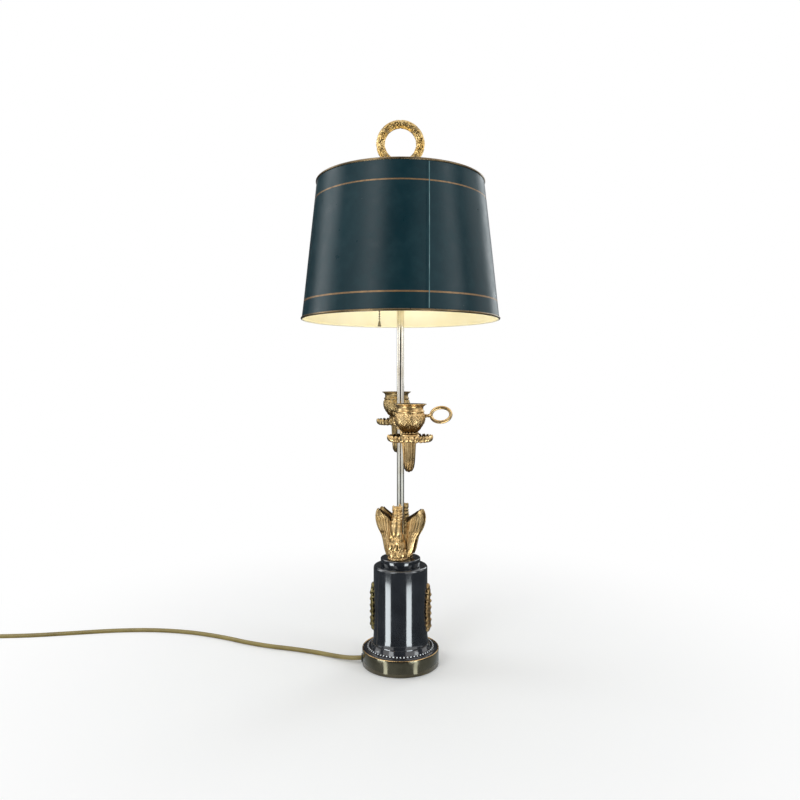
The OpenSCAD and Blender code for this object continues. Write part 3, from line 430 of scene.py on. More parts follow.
GOLD, PALE, HOLLOW_PATINA_SHADE = (196, 160, 106), (226, 194, 142), (54, 34, 14)
GILT = cast_gilt("gilt_bronze", GOLD, PALE, HOLLOW_PATINA_SHADE, 0.3)
GILT_WREATH = cast_gilt("gilt_bronze_wreath", (204, 166, 98), (238, 208, 148), (40, 26, 10), 0.25, (0.96, 0.55))
# the front horn goes brown towards its lower end, which faces down: painted shade
GILT_HORN = cast_gilt("gilt_bronze_horn", GOLD, PALE, HOLLOW_PATINA_SHADE, 0.3, painted_shade_end=(0.303, 0.279))
# a darker copy of the gilt: painted shade on the rear swan and the rear candle arm, and darker ribbons on the
# wreath
GILT_DARK_AND_SHADE = cast_gilt("gilt_bronze_dark_and_painted_shade", (154, 130, 88), (184, 158, 112), (34, 26, 14), 0.36)
# copies of the gilt for the two mounts, which are one casting: the left one's darker olive and the right one's
# coppery tone are painted shade and reflection
GILT_OLIVE = cast_gilt("gilt_bronze_olive", (116, 104, 66), (152, 138, 92), (20, 18, 10), 0.38)
GILT_COPPER = cast_gilt("gilt_bronze_coppery", (150, 120, 82), (184, 156, 112), (44, 30, 18), 0.36)
# a darker copy of the gilt, as painted shade on the drip pans' upper side
GILT_SHADE = cast_gilt("gilt_bronze_painted_shade", (84, 66, 36), (110, 88, 50), (20, 14, 8), 0.42)
# a near-black copy of the gilt, as painted shade in the candle cups' mouths, on the swans' rolled wing edges and on
# small balls under the wreath
GILT_DEEP_SHADE = cast_gilt("gilt_bronze_painted_deep_shade", (44, 34, 20), (60, 46, 28), (10, 8, 5), 0.45)
OLD_BRASS = plain_metal("old_brass", (104, 99, 83), (80, 76, 63), 0.17, (1, 1, 0.04))
EDGE_BRASS = plain_metal("bright_brass", (206, 170, 118), (150, 120, 84), 0.25)
RIM_BRASS = plain_metal("rim_brass", (132, 112, 84), (84, 76, 62), 0.3)
POLISHED = plain_metal("polished_metal", (226, 221, 210), (204, 192, 170), 0.12, (1, 1, 0.03))
STEEL = plain_metal("steel", (176, 176, 178), (150, 150, 152), 0.3)
# a painted highlight on the beads' upper, outer faces
GLINT = plain_metal("bead_painted_highlight", (226, 230, 232), (196, 200, 202), 0.22)
CHAIN = plain_metal("dull_chain", (150, 142, 122), (110, 104, 90), 0.35)
IRON = dull_finish("iron", (52, 52, 54), (40, 39, 38), 40, 0.7, 400, 0.5)
FELT = dull_finish("felt", (22, 58, 40), (15, 44, 30), 300, 0.9, 1800, 0.6, Sheen_Weight=0.5)
LACQUER = lacquer()
TIN, INSIDE, LINE = tin_paint(), enamel_inside(), gold_line()
# a painted highlight along the seam's free edge
SEAM_HIGHLIGHT = dull_finish("seam_painted_highlight", (104, 138, 142), (62, 98, 104), 60, 0.35, 500, 0.1, Metallic=0.2)
OPAL = dull_finish("opal_glass", (246, 244, 236), (238, 234, 222), 30, 0.16, 500, 0.02,
                   Coat_Weight=0.5, Subsurface_Weight=0.3, Subsurface_Radius=(0.01, 0.01, 0.01))
CORD = dull_finish("cord_sheath", (150, 134, 78), (128, 112, 62), 26, 0.36, 700, 0.12, Coat_Weight=0.15)
BLACK_PLASTIC = dull_finish("black_plastic", (26, 26, 27), (34, 34, 34), 60, 0.34, 900, 0.08)


# ---- Camera ----

PHOTO_PX, FOCAL_PX, SENSOR_MM = 800, 690, 36
camera = placed("camera", bpy.data.cameras.new("camera"))
camera.location, camera.rotation_euler = (0, -0.954, 0.3902), (pi / 2, 0, 0)
camera.data.lens = FOCAL_PX * SENSOR_MM / PHOTO_PX
camera.data.shift_x, camera.data.shift_y = -0.5 / PHOTO_PX, -20 / PHOTO_PX
camera.data.clip_start, camera.data.clip_end = 0.01, 50
bpy.context.scene.camera = camera


# ---- Cord and plug ----

def coil_point(t):
    """The coil after t turns: it winds inwards, climbs over itself, and winds outwards in a second layer."""
    middle = COIL_TURNS / 2
    end = CORD_ROUTE[-1]
    r = COIL_R + COIL_PITCH * abs(t - middle)
    a = radians(-90 - 360 * t)
    climb = min(1, max(0, 2 * (t - middle) + 0.5))
    return Vector((end[0] - 2 * CORD_R + r * cos(a),
                   end[1] + COIL_R + COIL_PITCH * middle + r * sin(a), CORD_R + COIL_PITCH * climb))


coil_steps = int(COIL_TURNS * COIL_RINGS)
coil_path = [coil_point(i / COIL_RINGS) for i in range(coil_steps + 1)]
plug_at = coil_path[-1] + Vector((0, 4 * CORD_R, 0))
cord_path = curve(CORD_ROUTE, 3) + coil_path + [plug_at]

cord_curve = bpy.data.curves.new("cord", "CURVE")
cord_curve.dimensions, cord_curve.bevel_depth, cord_curve.bevel_resolution = "3D", CORD_R * MM, 6
cord_curve.use_fill_caps = True
line = cord_curve.splines.new("POLY")
line.points.add(len(cord_path) - 1)
for point, place in zip(line.points, cord_path):
    point.co = (*(place * MM), 1)
line.use_smooth = True
cord_curve.materials.append(CORD)
cord = placed("cord", cord_curve)
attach(cord, "stand")
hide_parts("cord_run", "cord_coil")


def plug_shape():
    """Ringed strain relief, then a body with waisted, ribbed grips; it points along +Y."""
    def ring(y, half_w, half_h, power):
        row = []
        for k in range(40):
            a = TAU * k / 40
            c, s = cos(a), sin(a)
            row.append(Vector((half_w * math.copysign(abs(c) ** power, c), y,
                               half_h * math.copysign(abs(s) ** power, s))))
        return row
    rows = []
    for y in range(25):
        r = 3.4 + 2.4 * y / 24 + (0.35 if y % 4 < 2 else -0.25)
        rows.append(ring(y, r, r, 1))
    for i in range(36):
        t = i / 35
        edge = min(1, t / 0.12, (1 - t) / 0.05 + 0.55)
        waist = 1 - 0.12 * exp(-((t - 0.45) / 0.22) ** 2)
        rib = 0.25 if 0.25 < t < 0.65 and i % 3 == 0 else 0
        rows.append(ring(24 + 33 * t, (6 + 7 * sqrt(edge)) * waist - rib, 6 + 3.6 * sqrt(edge) - rib, 0.6))
    return Shape(skin(rows)).moved(shift(plug_at))


plug = piece("plug", plug_shape(), BLACK_PLASTIC, "plug_body", sharp=50)


# ---- Base and column ----

def base_outline():
    """The shell's wall with its rounded lip, and the ledge that the weight hangs from."""
    lip = 0.75
    arc = [(BASE_R - lip + lip * cos(a), BASE_H - lip + lip * sin(a))
           for a in np.linspace(0, pi, 12)]
    inner = BASE_R - 1.5
    return [(inner, 0.5), (BASE_R - 0.3, 0.5), (BASE_R, 0.8)] + arc + \
        [(inner, 19), (inner - 10, 19), (inner - 10, 17.5), (inner, 17.5)]


shell = Shape(lathe(base_outline(), 160, loop=True))
shell.m = [1 if min(shell.v[i][2] for i in f) > BASE_H - 1.3 else 0 for f in shell.f]
piece("base_disc", shell, [OLD_BRASS, EDGE_BRASS], "base_shell", sharp=50)

bushing = Shape(tube([(x, 0, 6.6) for x in (-53.9, -53.8, -53.2, -52.2, -48)], [4.9, 5.6, 5.7, 5.6, 4.8], 28))
piece("cord_grommet", bushing, BLACK_PLASTIC, "cord_bushing")

beads = Shape(lathe([(41.2, PLATE_TOP), (46.6, PLATE_TOP), (46.3, 22.5), (BEAD_RING_R, 22.9), (41.6, 22.5)], 160,
                    loop=True))
for i in range(BEADS):
    a = TAU * i / BEADS
    # the beads get a painted highlight where they face outwards and up
    bead = Shape(ball((0, 0, 0), (1.9, 1.6, 1.9), 20))
    for k, face in enumerate(bead.f):
        x, y, z = (sum(bead.v[n][j] for n in face) / len(face) for j in range(3))
        bead.m[k] = 1 if 0.62 * x + 0.78 * z > 1.45 and abs(y) < 0.75 else 0
    beads.join(bead.moved(turned(math.degrees(a)) @ shift((BEAD_RING_R, 0, 23.3))))
piece("beading", beads, [LACQUER, GLINT], "bead_ring")
plate = [(TIE_BORE_R, 19), (51.1, 19), (51.15, 21.3), (50.9, PLATE_TOP), (TIE_BORE_R, PLATE_TOP)]
piece("top_disc", Shape(lathe(plate, 160, loop=True)), LACQUER, "top_plate")


def moulding(outline, z):
    """A turned piece with the tie rod's bore; the outline's heights start at z."""
    side = [(r, z + h) for r, h in outline]
    return Shape(lathe([(TIE_BORE_R, z)] + side + [(TIE_BORE_R, z + outline[-1][1])], 160, loop=True))


def quarter(r, z, f, steps=7):
    """A rounded upper edge of radius f."""
    return [(r - f + f * cos(a), z + f * sin(a)) for a in np.linspace(0, pi / 2, steps)]


foot = [(42.2, 0), (42.3, 0.3), (42.3, 1.2), (41.7, 2.3), (40.9, 4.0), (40.1, 5.8), (39.4, 7.7)]
piece("column_base", moulding(foot, PLATE_TOP), LACQUER, "column_foot")
flare = [(1.9, 0), (2.0, 0.2), (1.4, 2), (0.8, 4.4), (0.35, 7), (0.1, 9.6), (0, 12), (0, 102.7)]
shaft = [(COLUMN_R + out, h) for out, h in flare] + quarter(COLUMN_R, 102.7, 3, 9)
piece("column_shaft", moulding(shaft, COLUMN_Z), LACQUER, "column", sharp=60)
cap = [(CAP_R - 0.4, 0), (CAP_R, 0.4), (CAP_R, 9.3)] + quarter(CAP_R, 9.3, 1.2)
piece("column_top", moulding(cap, CAP_Z), LACQUER, "column_cap", sharp=60)


# ---- Gilt mounts ----

def on_column(s, z, out):
    """A point beside the column, s along its round surface."""
    a = s / COLUMN_R
    return polar(COLUMN_R + out, a, z)


def column_leaf(s0, z0, s1, z1, w, proud, **kw):
    """A leaf against the column's round surface, from its root to its tip."""
    mids = [(0.0, 0.5), (0.35, 0.85), (0.7, 0.8), (1.0, 0.35)]
    path = [on_column(s0 + (s1 - s0) * t, z0 + (z1 - z0) * t, proud * k - 0.4) for t, k in mids]
    looks = [polar(1, (s0 + (s1 - s0) * t) / COLUMN_R) for t, _ in mids]
    return blade(path, looks, [0.45 * w, w, 0.95 * w, 0.55 * w, 0.12 * w], 1.1, across=8, rib=0.4, cup=0.22, **kw)


def mount_shape():
    """A palmette: a pointed tail, pairs of leaves that widen to the lower third, a top leaf and berries."""
    made, h, w = Shape(), PLAQUE_H, 15.5
    for i, reach in enumerate([0.55, 0.8, 1, 0.95, 0.85, 0.72, 0.6]):
        low = PLAQUE_Z + h * (0.12 + 0.105 * i)
        for m in (-1, 1):
            made.add(column_leaf(m * 1.5, low, m * (w * reach - 1), low + h * 0.15, 3.3, 4.0, veins=0.18))
            made.add(ball(on_column(m * w * reach * 0.55, low + h * 0.02, 2.2), 1.5, 10))
    for i in range(9):
        t = (i + 0.6) / 9.2
        wide = w * (0.3 + 0.6 * sin(pi * t ** 0.75))
        made.add(ball(on_column(0, PLAQUE_Z + h * t, -0.6), (4.4, wide, 4.6), 24))
    made.add(column_leaf(0, PLAQUE_Z + h * 0.32, 0, PLAQUE_Z + 1, 3.6, 4.6))
    for i in range(6):
        made.add(ball(on_column(0, PLAQUE_Z + h * (0.12 + 0.13 * i), 4.0), (1.9, 1.9, 2.6), 12))
    made.add(column_leaf(0, PLAQUE_Z + h * 0.25, 0, PLAQUE_Z + h * 0.7, 3.0, 4.2))
    made.add(column_leaf(0, PLAQUE_Z + h * 0.66, 0, PLAQUE_Z + h - 1, 4.2, 3.9, veins=0.2))
    return fuse(made, 0.5, 2)


mount = mount_shape()
# each mount gets its own copy of the gilt, as painted shade and reflection
for name, side, metal in (("mount_right", 0, GILT_COPPER), ("mount_left", 180, GILT_OLIVE)):
    piece(name, mount.moved(turned(side + PLAQUE_TURN)), metal,
          "plaque_left" if side else "plaque_right", sharp=80)


# ---- Swans ----

# Rows from a wing's foot to its tip: depth, then the inner and the outer edge as shares of span and height
WING_ROWS = [
    (11, 0.26, 0.02, 0.485, 0.01), (10, 0.28, 0.15, 0.575, 0.12), (9, 0.31, 0.28, 0.64, 0.25),
    (8, 0.325, 0.41, 0.715, 0.38), (7, 0.33, 0.545, 0.86, 0.507), (6.2, 0.335, 0.655, 0.955, 0.617),
    (5.8, 0.375, 0.74, 1.0, 0.735), (5.8, 0.52, 0.80, 0.985, 0.83), (6.2, 0.68, 0.855, 0.935, 0.90),
    (7.0, 0.80, 0.912, 0.87, 0.93),
]


def wing(m):
    """A raised wing: one curved sheet with feathers that fan out from its foot to its tip; m is the side."""
    inner = curve([(r[0], WING_SPAN * r[1], SWAN_H * r[2]) for r in WING_ROWS], 9)
    outer = curve([(r[0], WING_SPAN * r[3], SWAN_H * r[4]) for r in WING_ROWS], 9)
    across, feathers, rows = 42, 6, []
    for i, (a, b) in enumerate(zip(inner, outer)):
        t = i / (len(inner) - 1)
        row = []
        for j in range(2 * across):
            front = j <= across
            v = j / across if front else 2 - j / across
            deep = 2.6 * sin(pi * v) ** 0.5 * (1 - 0.55 * t)
            if front:
                # each feather is a low ridge with a sharp step to the next, and a fine barb pattern
                f = (v * feathers + 0.35 * t) % 1
                ridge = 0.75 * (1 - f) ** 0.7 * min(1, 8 * f) * min(1, 5 * (1 - t)) * min(1, 6 * t + 0.3)
                barbs = 0.09 * sin(TAU * (24 * t + 1.5 * f))
                tier = 0.8 * (((t * 3.0 + 0.16 * sin(TAU * v * feathers)) % 1) < 0.1) * (t < 0.7)
                out = 1.6 * sin(pi * v) + (ridge + barbs) * sin(pi * v) ** 0.4 - 0.4 * tier
            else:
                out = 1.6 * sin(pi * v) - deep - 0.4
            p = a.lerp(b, v)
            row.append(Vector((p.x + out, m * p.y, p.z)))
        rows.append(row)
    made = Shape(skin(rows))
    # the rolled upper edge, painted dark as shade
    edge = [Vector((p.x + 1.3, m * (p.y - 0.1), p.z + 0.1)) for p in inner[48:]]
    made.add(tube(edge, [1.0, 1.6, 1.8, 1.8, 1.6, 1.1], 14, (1, 0, 0)), mat=1)
    return made


def swan_shape():
    """A swan with raised wings, its breast towards +X."""
    made = Shape(ball((11.5, 0, 14), (12.3, 12.3, 15.5), 28), ball((14.8, 0, 25), (9.3, 10.0, 12), 28))
    neck = [(14.5, 0, 26), (17.6, 0, 35), (16.8, 0, 44), (14.4, 0, 51), (13.4, 0, 57), (13.8, 0, 62)]
    made.add(tube(curve(neck, 16), [8.6, 8.0, 7.6, 7.3, 7.1, 6.4], 32, (0, 1, 0),
                  wave=lambda t, a: 1 + 0.085 * sin(TAU * 7 * t) * min(1, max(0, 4 * t - 1.2))))
    made.add(ball((13.8, 0, 64.0), (6.4, 7.2, 5.2), 28))
    for m in (-1, 1):
        made.add(ball((13.0, m * 5.6, 67.4), (2.3, 2.0, 2.2), 12))
        made.add(ball((18.9, m * 4.2, 64.4), 1.5, 12))
    made.add(tube(curve([(17.4, 0, 62.0), (20.4, 0, 58.6), (21.4, 0, 55.0)], 5),
                  [3.6, 2.9, 1.4], 18, (0, 1, 0), flat=0.85))
    # breast feathers in rows that point down, and leaves round the foot
    for row in range(3):
        count = 3 - row % 2
        for i in range(count):
            side = (i - (count - 1) / 2) * 0.66
            z = 37 - 7.6 * row
            out = polar(1, side)
            centre = Vector((13.2, 0, 0))
            r = 9.4 + 0.8 * row
            path = [centre + out * (r - 0.8) + Vector((0, 0, z)), centre + out * (r + 1.3) + Vector((0, 0, z - 6)),
                    centre + out * (r + 1.0) + Vector((0, 0, z - 11))]
            made.add(blade(path, [out], [2.2, 3.6, 3.3, 1.0], 1.1, rib=0.5, cup=0.2))
    for i in range(9):
        a = radians(-112 + 28 * i)
        out = polar(1, a)
        root = Vector((11.8, 0, 0)) + out * 11.2
        path = [root + out * r + Vector((0, 0, z)) for r, z in ((0, 0.3), (1.2, 4), (0.5, 8), (1.2, 10.5))]
        made.add(blade(path, [out], [2.6, 3.4, 2.8, 1.1], 0.9, rib=0.4, cup=0.2, veins=0.15))
    made = fuse(made, 0.42, 1)
    for m in (-1, 1):
        made.join(wing(m))
    made.v = [(max(x, 0.15), y, max(z, 0.05)) for x, y, z in made.v]
    return made


swan = swan_shape()
# the rear swan gets the darker copy of the gilt as painted shade
for name, side, metal in (("swan_one", 0, GILT), ("swan_two", 180, GILT_DARK_AND_SHADE)):
    place = turned(side - 90 + SWAN_TURN, (0, 0, PLINTH_TOP))
    piece(name, swan.moved(place), [metal, GILT_DEEP_SHADE],
          "swan_rear" if side else "swan_front", sharp=70)

plinth = Shape()
rim = [(0, 0), (12.4, 0), (12.9, 0.5), (12.9, 1.2), (12.2, 1.7), (12.4, 2.6), (11.8, 3.55), (0, 3.6)]
for side in (0, 180):
    place = turned(side - 90 + SWAN_TURN, (0, 0, PLINTH_Z)) @ shift((11.8, 0, 0))
    plinth.add(lathe(rim, 64), place=place)
    for i in range(18):
        a = TAU * i / 18
        plinth.add(ball((12.1 * cos(a), 12.1 * sin(a), 1.75), (1.75, 1.75, 1.6), 12), place=place)
piece("plinth", plinth, GILT, "swan_plinth")


# ---- Pole and candle arms ----

wall = [(POLE_BORE_R, PLINTH_TOP), (POLE_R, PLINTH_TOP), (POLE_R, POLE_TOP), (POLE_BORE_R, POLE_TOP)]
piece("pole_tube", Shape(lathe(wall, 64, loop=True)), POLISHED, "pole")
wall = [(5.05, 322), (5.9, 322), (6.2, 322.3), (6.2, 326.2), (5.9, 326.5), (5.05, 326.5)]
piece("stop_ring", Shape(lathe(wall, 64, loop=True)), GILT, "stop_collar")

HORN = [
    (COLLAR_R - 1.5, COLLAR_RISE), (0.203 * REACH, 0.83 * COLLAR_RISE), (0.293 * REACH, 0.4 * COLLAR_RISE),
    (0.443 * REACH, -0.18 * HORN_DROP), (0.586 * REACH, -0.448 * HORN_DROP), (0.676 * REACH, -0.671 * HORN_DROP),
    (0.743 * REACH, -0.873 * HORN_DROP), (0.818 * REACH, -HORN_DROP), (0.901 * REACH, -0.989 * HORN_DROP),
    (0.961 * REACH, -0.829 * HORN_DROP), (0.985 * REACH, -0.58 * HORN_DROP), (0.996 * REACH, -0.276 * HORN_DROP),
    (REACH, 0),
]


def horn_shape():
    """A fluted horn that swells towards the pan, and its collar of two staggered rows of buds."""
    line = curve([(x, 0, z) for x, z in HORN], 10)
    n = len(line)
    radii = [3.0 + 4.6 * i / (n - 1) for i in range(n)]

    def flutes(t, a):
        return 1.03 - 0.15 * min(1, 8 * t) * (1 - abs(cos(4.5 * a))) ** 1.5
    made = Shape(tube(line, radii, 110, (0, 1, 0), wave=flutes))
    low, high, r = COLLAR_RISE - COLLAR_H / 2, COLLAR_RISE + COLLAR_H / 2, COLLAR_R
    made.add(lathe([(5.05, low), (r - 1.2, low), (r - 0.7, low + 0.5), (r - 0.7, low + 1.3), (r - 1.6, low + 2),
                    (r - 1.6, high - 2), (r - 0.7, high - 1.3), (r - 0.7, high - 0.5), (r - 1.2, high),
                    (5.05, high)], 72, loop=True))
    for row, z in enumerate((COLLAR_RISE - 2.6, COLLAR_RISE + 2.6)):
        for i in range(11):
            a = TAU * (i + 0.5 * row) / 11
            made.add(ball((0, 0, 0), (1.9, 2.5, 2.9), 14),
                     place=shift((0, 0, z)) @ Matrix.Rotation(a, 4, "Z")
                     @ shift((r - 0.3, 0, 0)))
    return made


def pan_shape():
    """A shallow dish under petals that turn up at the edge; its upper side gets a darker copy of the gilt as
    painted shade.
    """
    dish = [(0, 0), (12, 0), (23, -0.8), (25.5, 0.2), (26, 2.0), (25, 2.6), (22, 1.6), (16, 1.8), (13.5, 3.4),
            (12.2, 5.4), (11.4, 7), (10.9, PAN_H), (0, PAN_H)]
    made = Shape(lathe(dish, 96))
    heights = [[made.v[i][2] for i in face] for face in made.f]
    # painted shade on the dish's upper side
    made.m = [1 if min(z) >= 1.5 and max(z) < 5.5 else 0 for z in heights]
    across = 10
    for i in range(PETALS):
        a = TAU * (i + 0.5) / PETALS
        out, side = polar(1, a), Vector((0, 0, 1))
        line = [(15, 0.4), (20.5, -0.8), (25, -1.1), (27.9, 0.7), (28.6, 3.6), (28.0, 6.3)]
        fronts = [(0.05, 1), (0.1, 1), (0.55, 0.8), (0.95, 0.3), (1, 0), (0.8, -0.5)]
        path, looks = [out * r + side * z for r, z in line], [out * x - side * z for x, z in fronts]
        petal = Shape(blade(path, looks, [1.4, 2.5, 3.2, 3.6, 3.8, 3.5, 2.1], 0.8, steps=4, across=across, rib=0.45,
                            cup=0.34))
        # painted shade on the petals' inner side
        petal.m = [1 if k % (2 * across) > across and len(f) == 4 else 0 for k, f in enumerate(petal.f)]
        made.join(petal)
    return made


def leaf_relief(a, z):
    """Height of the acanthus leaves on the cup's belly."""
    low, high, count = 2.6, 27.0, 9
    if not low < z < high:
        return 0.0
    t = (z - low) / (high - low)
    made = 0.0
    for phase, start, lift in ((0.0, 0.0, 1.0), (0.5, 0.36, 0.9)):
        u = (t - start) / (1 - start)
        if u <= 0:
            continue
        w = 1.06 * sin(pi * min(1, 0.12 + 0.88 * u)) ** 0.55 * (1 - 0.25 * u)
        p = abs(((a * count / TAU + phase) % 1) * 2 - 1)
        if p < w:
            body = sqrt(1 - (p / w) ** 2)
            vein = 0.38 * cos(TAU * (6.0 * u - 1.9 * p))
            rib = 0.5 * exp(-(p / 0.09) ** 2)
            made = max(made, lift * (0.95 * body + (vein * body + rib) * min(1, 8 * u) * min(1, 5 * (1 - u))))
    return made - 0.65


def cup_outline():
    """Up the belly, neck and lip, and down into the candle's bore."""
    foot, wide, lip = FOOT_R, BELLY_R + 0.3, LIP_R
    keys = [(foot - 0.4, 0), (foot + 0.2, 0.5), (foot + 0.2, 1.4), (foot - 1.2, 2.6), (0.58 * wide, 4.2),
            (0.69 * wide, 7), (0.82 * wide, 10.5), (0.94 * wide, 14.6), (wide, 19.5), (0.995 * wide, 23.5),
            (0.965 * wide, 26.8)]
    side = [(p.x, p.z) for p in curve([(r, 0, z) for r, z in keys], 7)]
    neck = [(wide * share, z) for share, z in (
        (0.915, 27.5), (0.935, 28.1), (0.965, 28.5), (0.975, 29.2), (0.965, 29.9), (0.93, 30.3), (0.905, 30.9),
        (0.895, 32), (0.895, 34), (0.91, 35.4))]
    mouth = [(0.885 * lip, 36.8), (0.93 * lip, 37.6), (lip - 0.6, 38.0), (lip - 0.1, 38.3), (lip, 38.6),
             (lip - 0.15, 38.9), (lip - 0.7, 39.15), (lip - 1.5, 38.9), (lip - 3.4, 37.6), (lip - 5, 35.9),
             (BORE_R + 2.2, 31.5), (BORE_R + 0.4, 28), (BORE_R, 27.5), (BORE_R, 8.5)]
    return [(0, 0)] + side + neck + mouth + [(0, 8.5)]


def cup_shape():
    """A candle cup with leaves on its belly, a mouth painted dark as shade and a ring of balls at its foot."""
    outline = cup_outline()
    seg, mouth = 288, outline.index((LIP_R - 0.7, 39.15))
    made = Shape(lathe(outline, seg, relief=leaf_relief))
    # the mouth and the bore get the painted shade
    made.m = [1 if i // seg >= mouth else 0 for i in range(len(made.f))]
    for i in range(16):
        a = TAU * (i + 0.5) / 16
        made.add(ball((9.9 * cos(a), 9.9 * sin(a), 1.5), 1.45, 12))
    return made


def loop_shape(loop_turn):
    """A closed oval of round wire on a ringed stub."""
    wire, half_len, half_h, root = 2.2, 12.8, 9.3, 27.0
    tilt = radians(6)
    path = []
    for i in range(72):
        a = TAU * i / 72
        x, z = half_len * (1 + cos(a)), half_h * sin(a)
        path.append((root + x * cos(tilt) - z * sin(tilt), 0, x * sin(tilt) + z * cos(tilt)))
    made = Shape(tube(path, [wire] * 72, 20, (0, 1, 0), loop=True))
    stub = [(15.3, 1.9), (19.6, 1.9), (20.1, 2.6), (20.9, 2.6), (21.5, 1.8), (22.3, 1.7), (22.8, 2.4), (23.6, 2.5),
            (24.2, 1.9), (25.8, 2.3), (27.2, 2.9), (28.4, 2.6)]
    made.add(tube([(x, 0, 0.02 * i) for i, (x, _) in enumerate(stub)], [r for _, r in stub], 24, (0, 1, 0)))
    return made.moved(turned(loop_turn, (0, 0, 23.5)))


horn, pan, cup = horn_shape(), pan_shape(), cup_shape()
# the rear arm gets the darker copy of the gilt as painted shade
for side, metal, horn_metal in (("front", GILT, GILT_HORN), ("rear", GILT_DARK_AND_SHADE, GILT_DARK_AND_SHADE)):
    at = turned(YAW[side], (0, 0, SEAT_Z[side]))
    on_pan = at @ shift((REACH, 0, PAN_H))
    for name, shape, metals, node, sharp in (
        ("horn", horn.moved(at), horn_metal, "arm", 50),
        ("drip_pan", pan.moved(at @ shift((REACH, 0, 0))), [metal, GILT_SHADE], "pan", 55),
        ("candle_cup", cup.moved(on_pan), [metal, GILT_DEEP_SHADE], "cup", 60),
        ("finger_loop", loop_shape(LOOP_TURN[side]).moved(on_pan), metal, "loop", 40),
    ):
        piece(f"{side}_{name}", shape, metals, f"{node}_{side}", sharp, f"{side}_arm")


# ---- Bulbs, chain ----

for name, m in (("bulb_one", -1), ("bulb_two", 1)):
    centre = BULB_TOP - BULB_R
    globe = [(BULB_R * cos(a), centre + BULB_R * sin(a)) for a in np.linspace(-0.62, pi / 2, 26)]
    neck = [(8, BULB_Z), (8, 551.5), (8.6, 553.5), (10.4, 556.2), (13.4, 559.4), (16.2, 561.8)]
    outline = [(p.x, p.z) for p in curve([(r, 0, z) for r, z in neck + globe[1:5]], 3)] + globe[5:]
    outline[-1] = (0, BULB_TOP)
    shape = Shape(lathe([(0, BULB_Z)] + outline, 64)).moved(shift((m * HOLDER_X, 0, 0)))
    piece(name, shape, OPAL, "bulb_left" if m < 0 else "bulb_right")

chain, low = Shape(), CHAIN_TOP - CHAIN_PITCH * (CHAIN_BALLS - 1)
for i in range(CHAIN_BALLS):
    chain.add(ball((*CHAIN_AT, CHAIN_TOP - CHAIN_PITCH * i), 1.25, 14))
bell = [(0, low - 7), (2.2, low - 7), (2.4, low - 6.6), (2.4, low - 5.6), (2.0, low - 4.8), (1.7, low - 2.5),
        (1.3, low - 0.6), (0, low)]
for outline, sides in (([(0.45, low), (0.45, CHAIN_TOP)], 12), (bell, 32)):
    chain.add(lathe(outline, sides), place=shift((*CHAIN_AT, 0)))
piece("chain", chain, CHAIN, "pull_chain", body="pull")


# ---- Shade ----

def cone_r(z):
    return SHADE_R0 + (SHADE_R1 - SHADE_R0) * (z - SHADE_Z) / SHADE_H


def on_line(z):
    return any(a < z < b for a, b in GOLD_LINES)


def shade_shape():
    """The tin skin with small dents, painted gold lines and a lapped seam."""
    seg, edges = 240, [z for pair in GOLD_LINES for z in pair]
    heights = sorted({*np.linspace(SHADE_Z, SHADE_TOP, 30), *edges})

    def dent(a, z):
        return 0.16 * sin(3 * a + 1.1) + 0.1 * sin(7 * a + z / 40) + 0.06 * sin(11 * a - z / 25)

    def ring(z, inset):
        row = []
        for k in range(seg):
            a = TAU * k / seg
            middle = min(1, (z - SHADE_Z) / 20, (SHADE_TOP - z) / 20)
            row.append(polar(cone_r(z) - inset + dent(a, z) * max(0, middle) - 0.1, a, z))
        return row
    outer = [ring(z, 0) for z in heights]
    inner = [ring(z, SHADE_T) for z in reversed(heights)]
    made = Shape(skin(outer + inner, loop=True))
    for i in range(len(made.f)):
        row = i // seg
        outside = row < len(heights) - 1
        made.m[i] = (2 if on_line((heights[row] + heights[row + 1]) / 2) else 0) if outside else 1
    # the lapped seam: the painted lines run over it, and its free edge has a light line as a painted highlight
    half = 2.6 / SHADE_R0
    section = ((-half, -0.3), (-half, 0.02), (-half * 0.4, 0.2), (half * 0.5, 0.34), (half * 0.56, 0.5),
               (half, 0.5), (half, -0.3))
    levels = [SHADE_Z + 2.2] + [z for z in heights if SHADE_Z + 3 < z < SHADE_TOP - 3] + [SHADE_TOP - 2.2]
    strip = []
    for z in levels:
        at, r = SEAM_AT + radians(SEAM_LEAN * (z - SHADE_Z) / SHADE_H - 1.2), cone_r(z)
        strip.append([polar(r + out, at + a, z) for a, out in section])
    seam = Shape(skin(strip))
    for i in range(len(seam.f) - 2):
        z, side = (levels[i // 7] + levels[i // 7 + 1]) / 2, i % 7
        seam.m[i] = 3 if side in (3, 4, 5) else 2 if on_line(z) else 0
    return made.join(seam)


piece("shade", shade_shape(), [TIN, INSIDE, LINE, SEAM_HIGHLIGHT], "shade_skin", 30, "shade")
for name, z, r, node in (("shade_top_edge", SHADE_TOP, SHADE_R1, "shade_rim_top"),
                         ("shade_lower_edge", SHADE_Z, SHADE_R0, "shade_rim_bottom")):
    ring = [(r - 0.4 + RIM_R * cos(a), z + RIM_R * sin(a)) for a in np.linspace(0, TAU, 17)[:-1]]
    edge = Shape(lathe(ring, 240, loop=True))
    for i, face in enumerate(edge.f):
        out = sum(math.hypot(*edge.v[k][:2]) for k in face) / len(face)
        edge.m[i] = 1 if out < r - 0.4 + (0.25 if z == SHADE_Z else -0.6) else 0
    piece(name, edge, [RIM_BRASS, INSIDE], node, body="shade")


# ---- Finial ----

finial = [(0, 666.1), (8, 666.1), (8.6, 667.6), (8.2, 668.8), (6.6, 670.4), (6.0, 672.5), (6.4, 674.4),
          (8.2, 676.4), (8.8, 678), (8.6, 679.2), (7.6, 680.4), (7.4, 685), (0, 685)]
piece("finial_stem", Shape(lathe(finial, 64)), GILT, "finial_base", sharp=60)


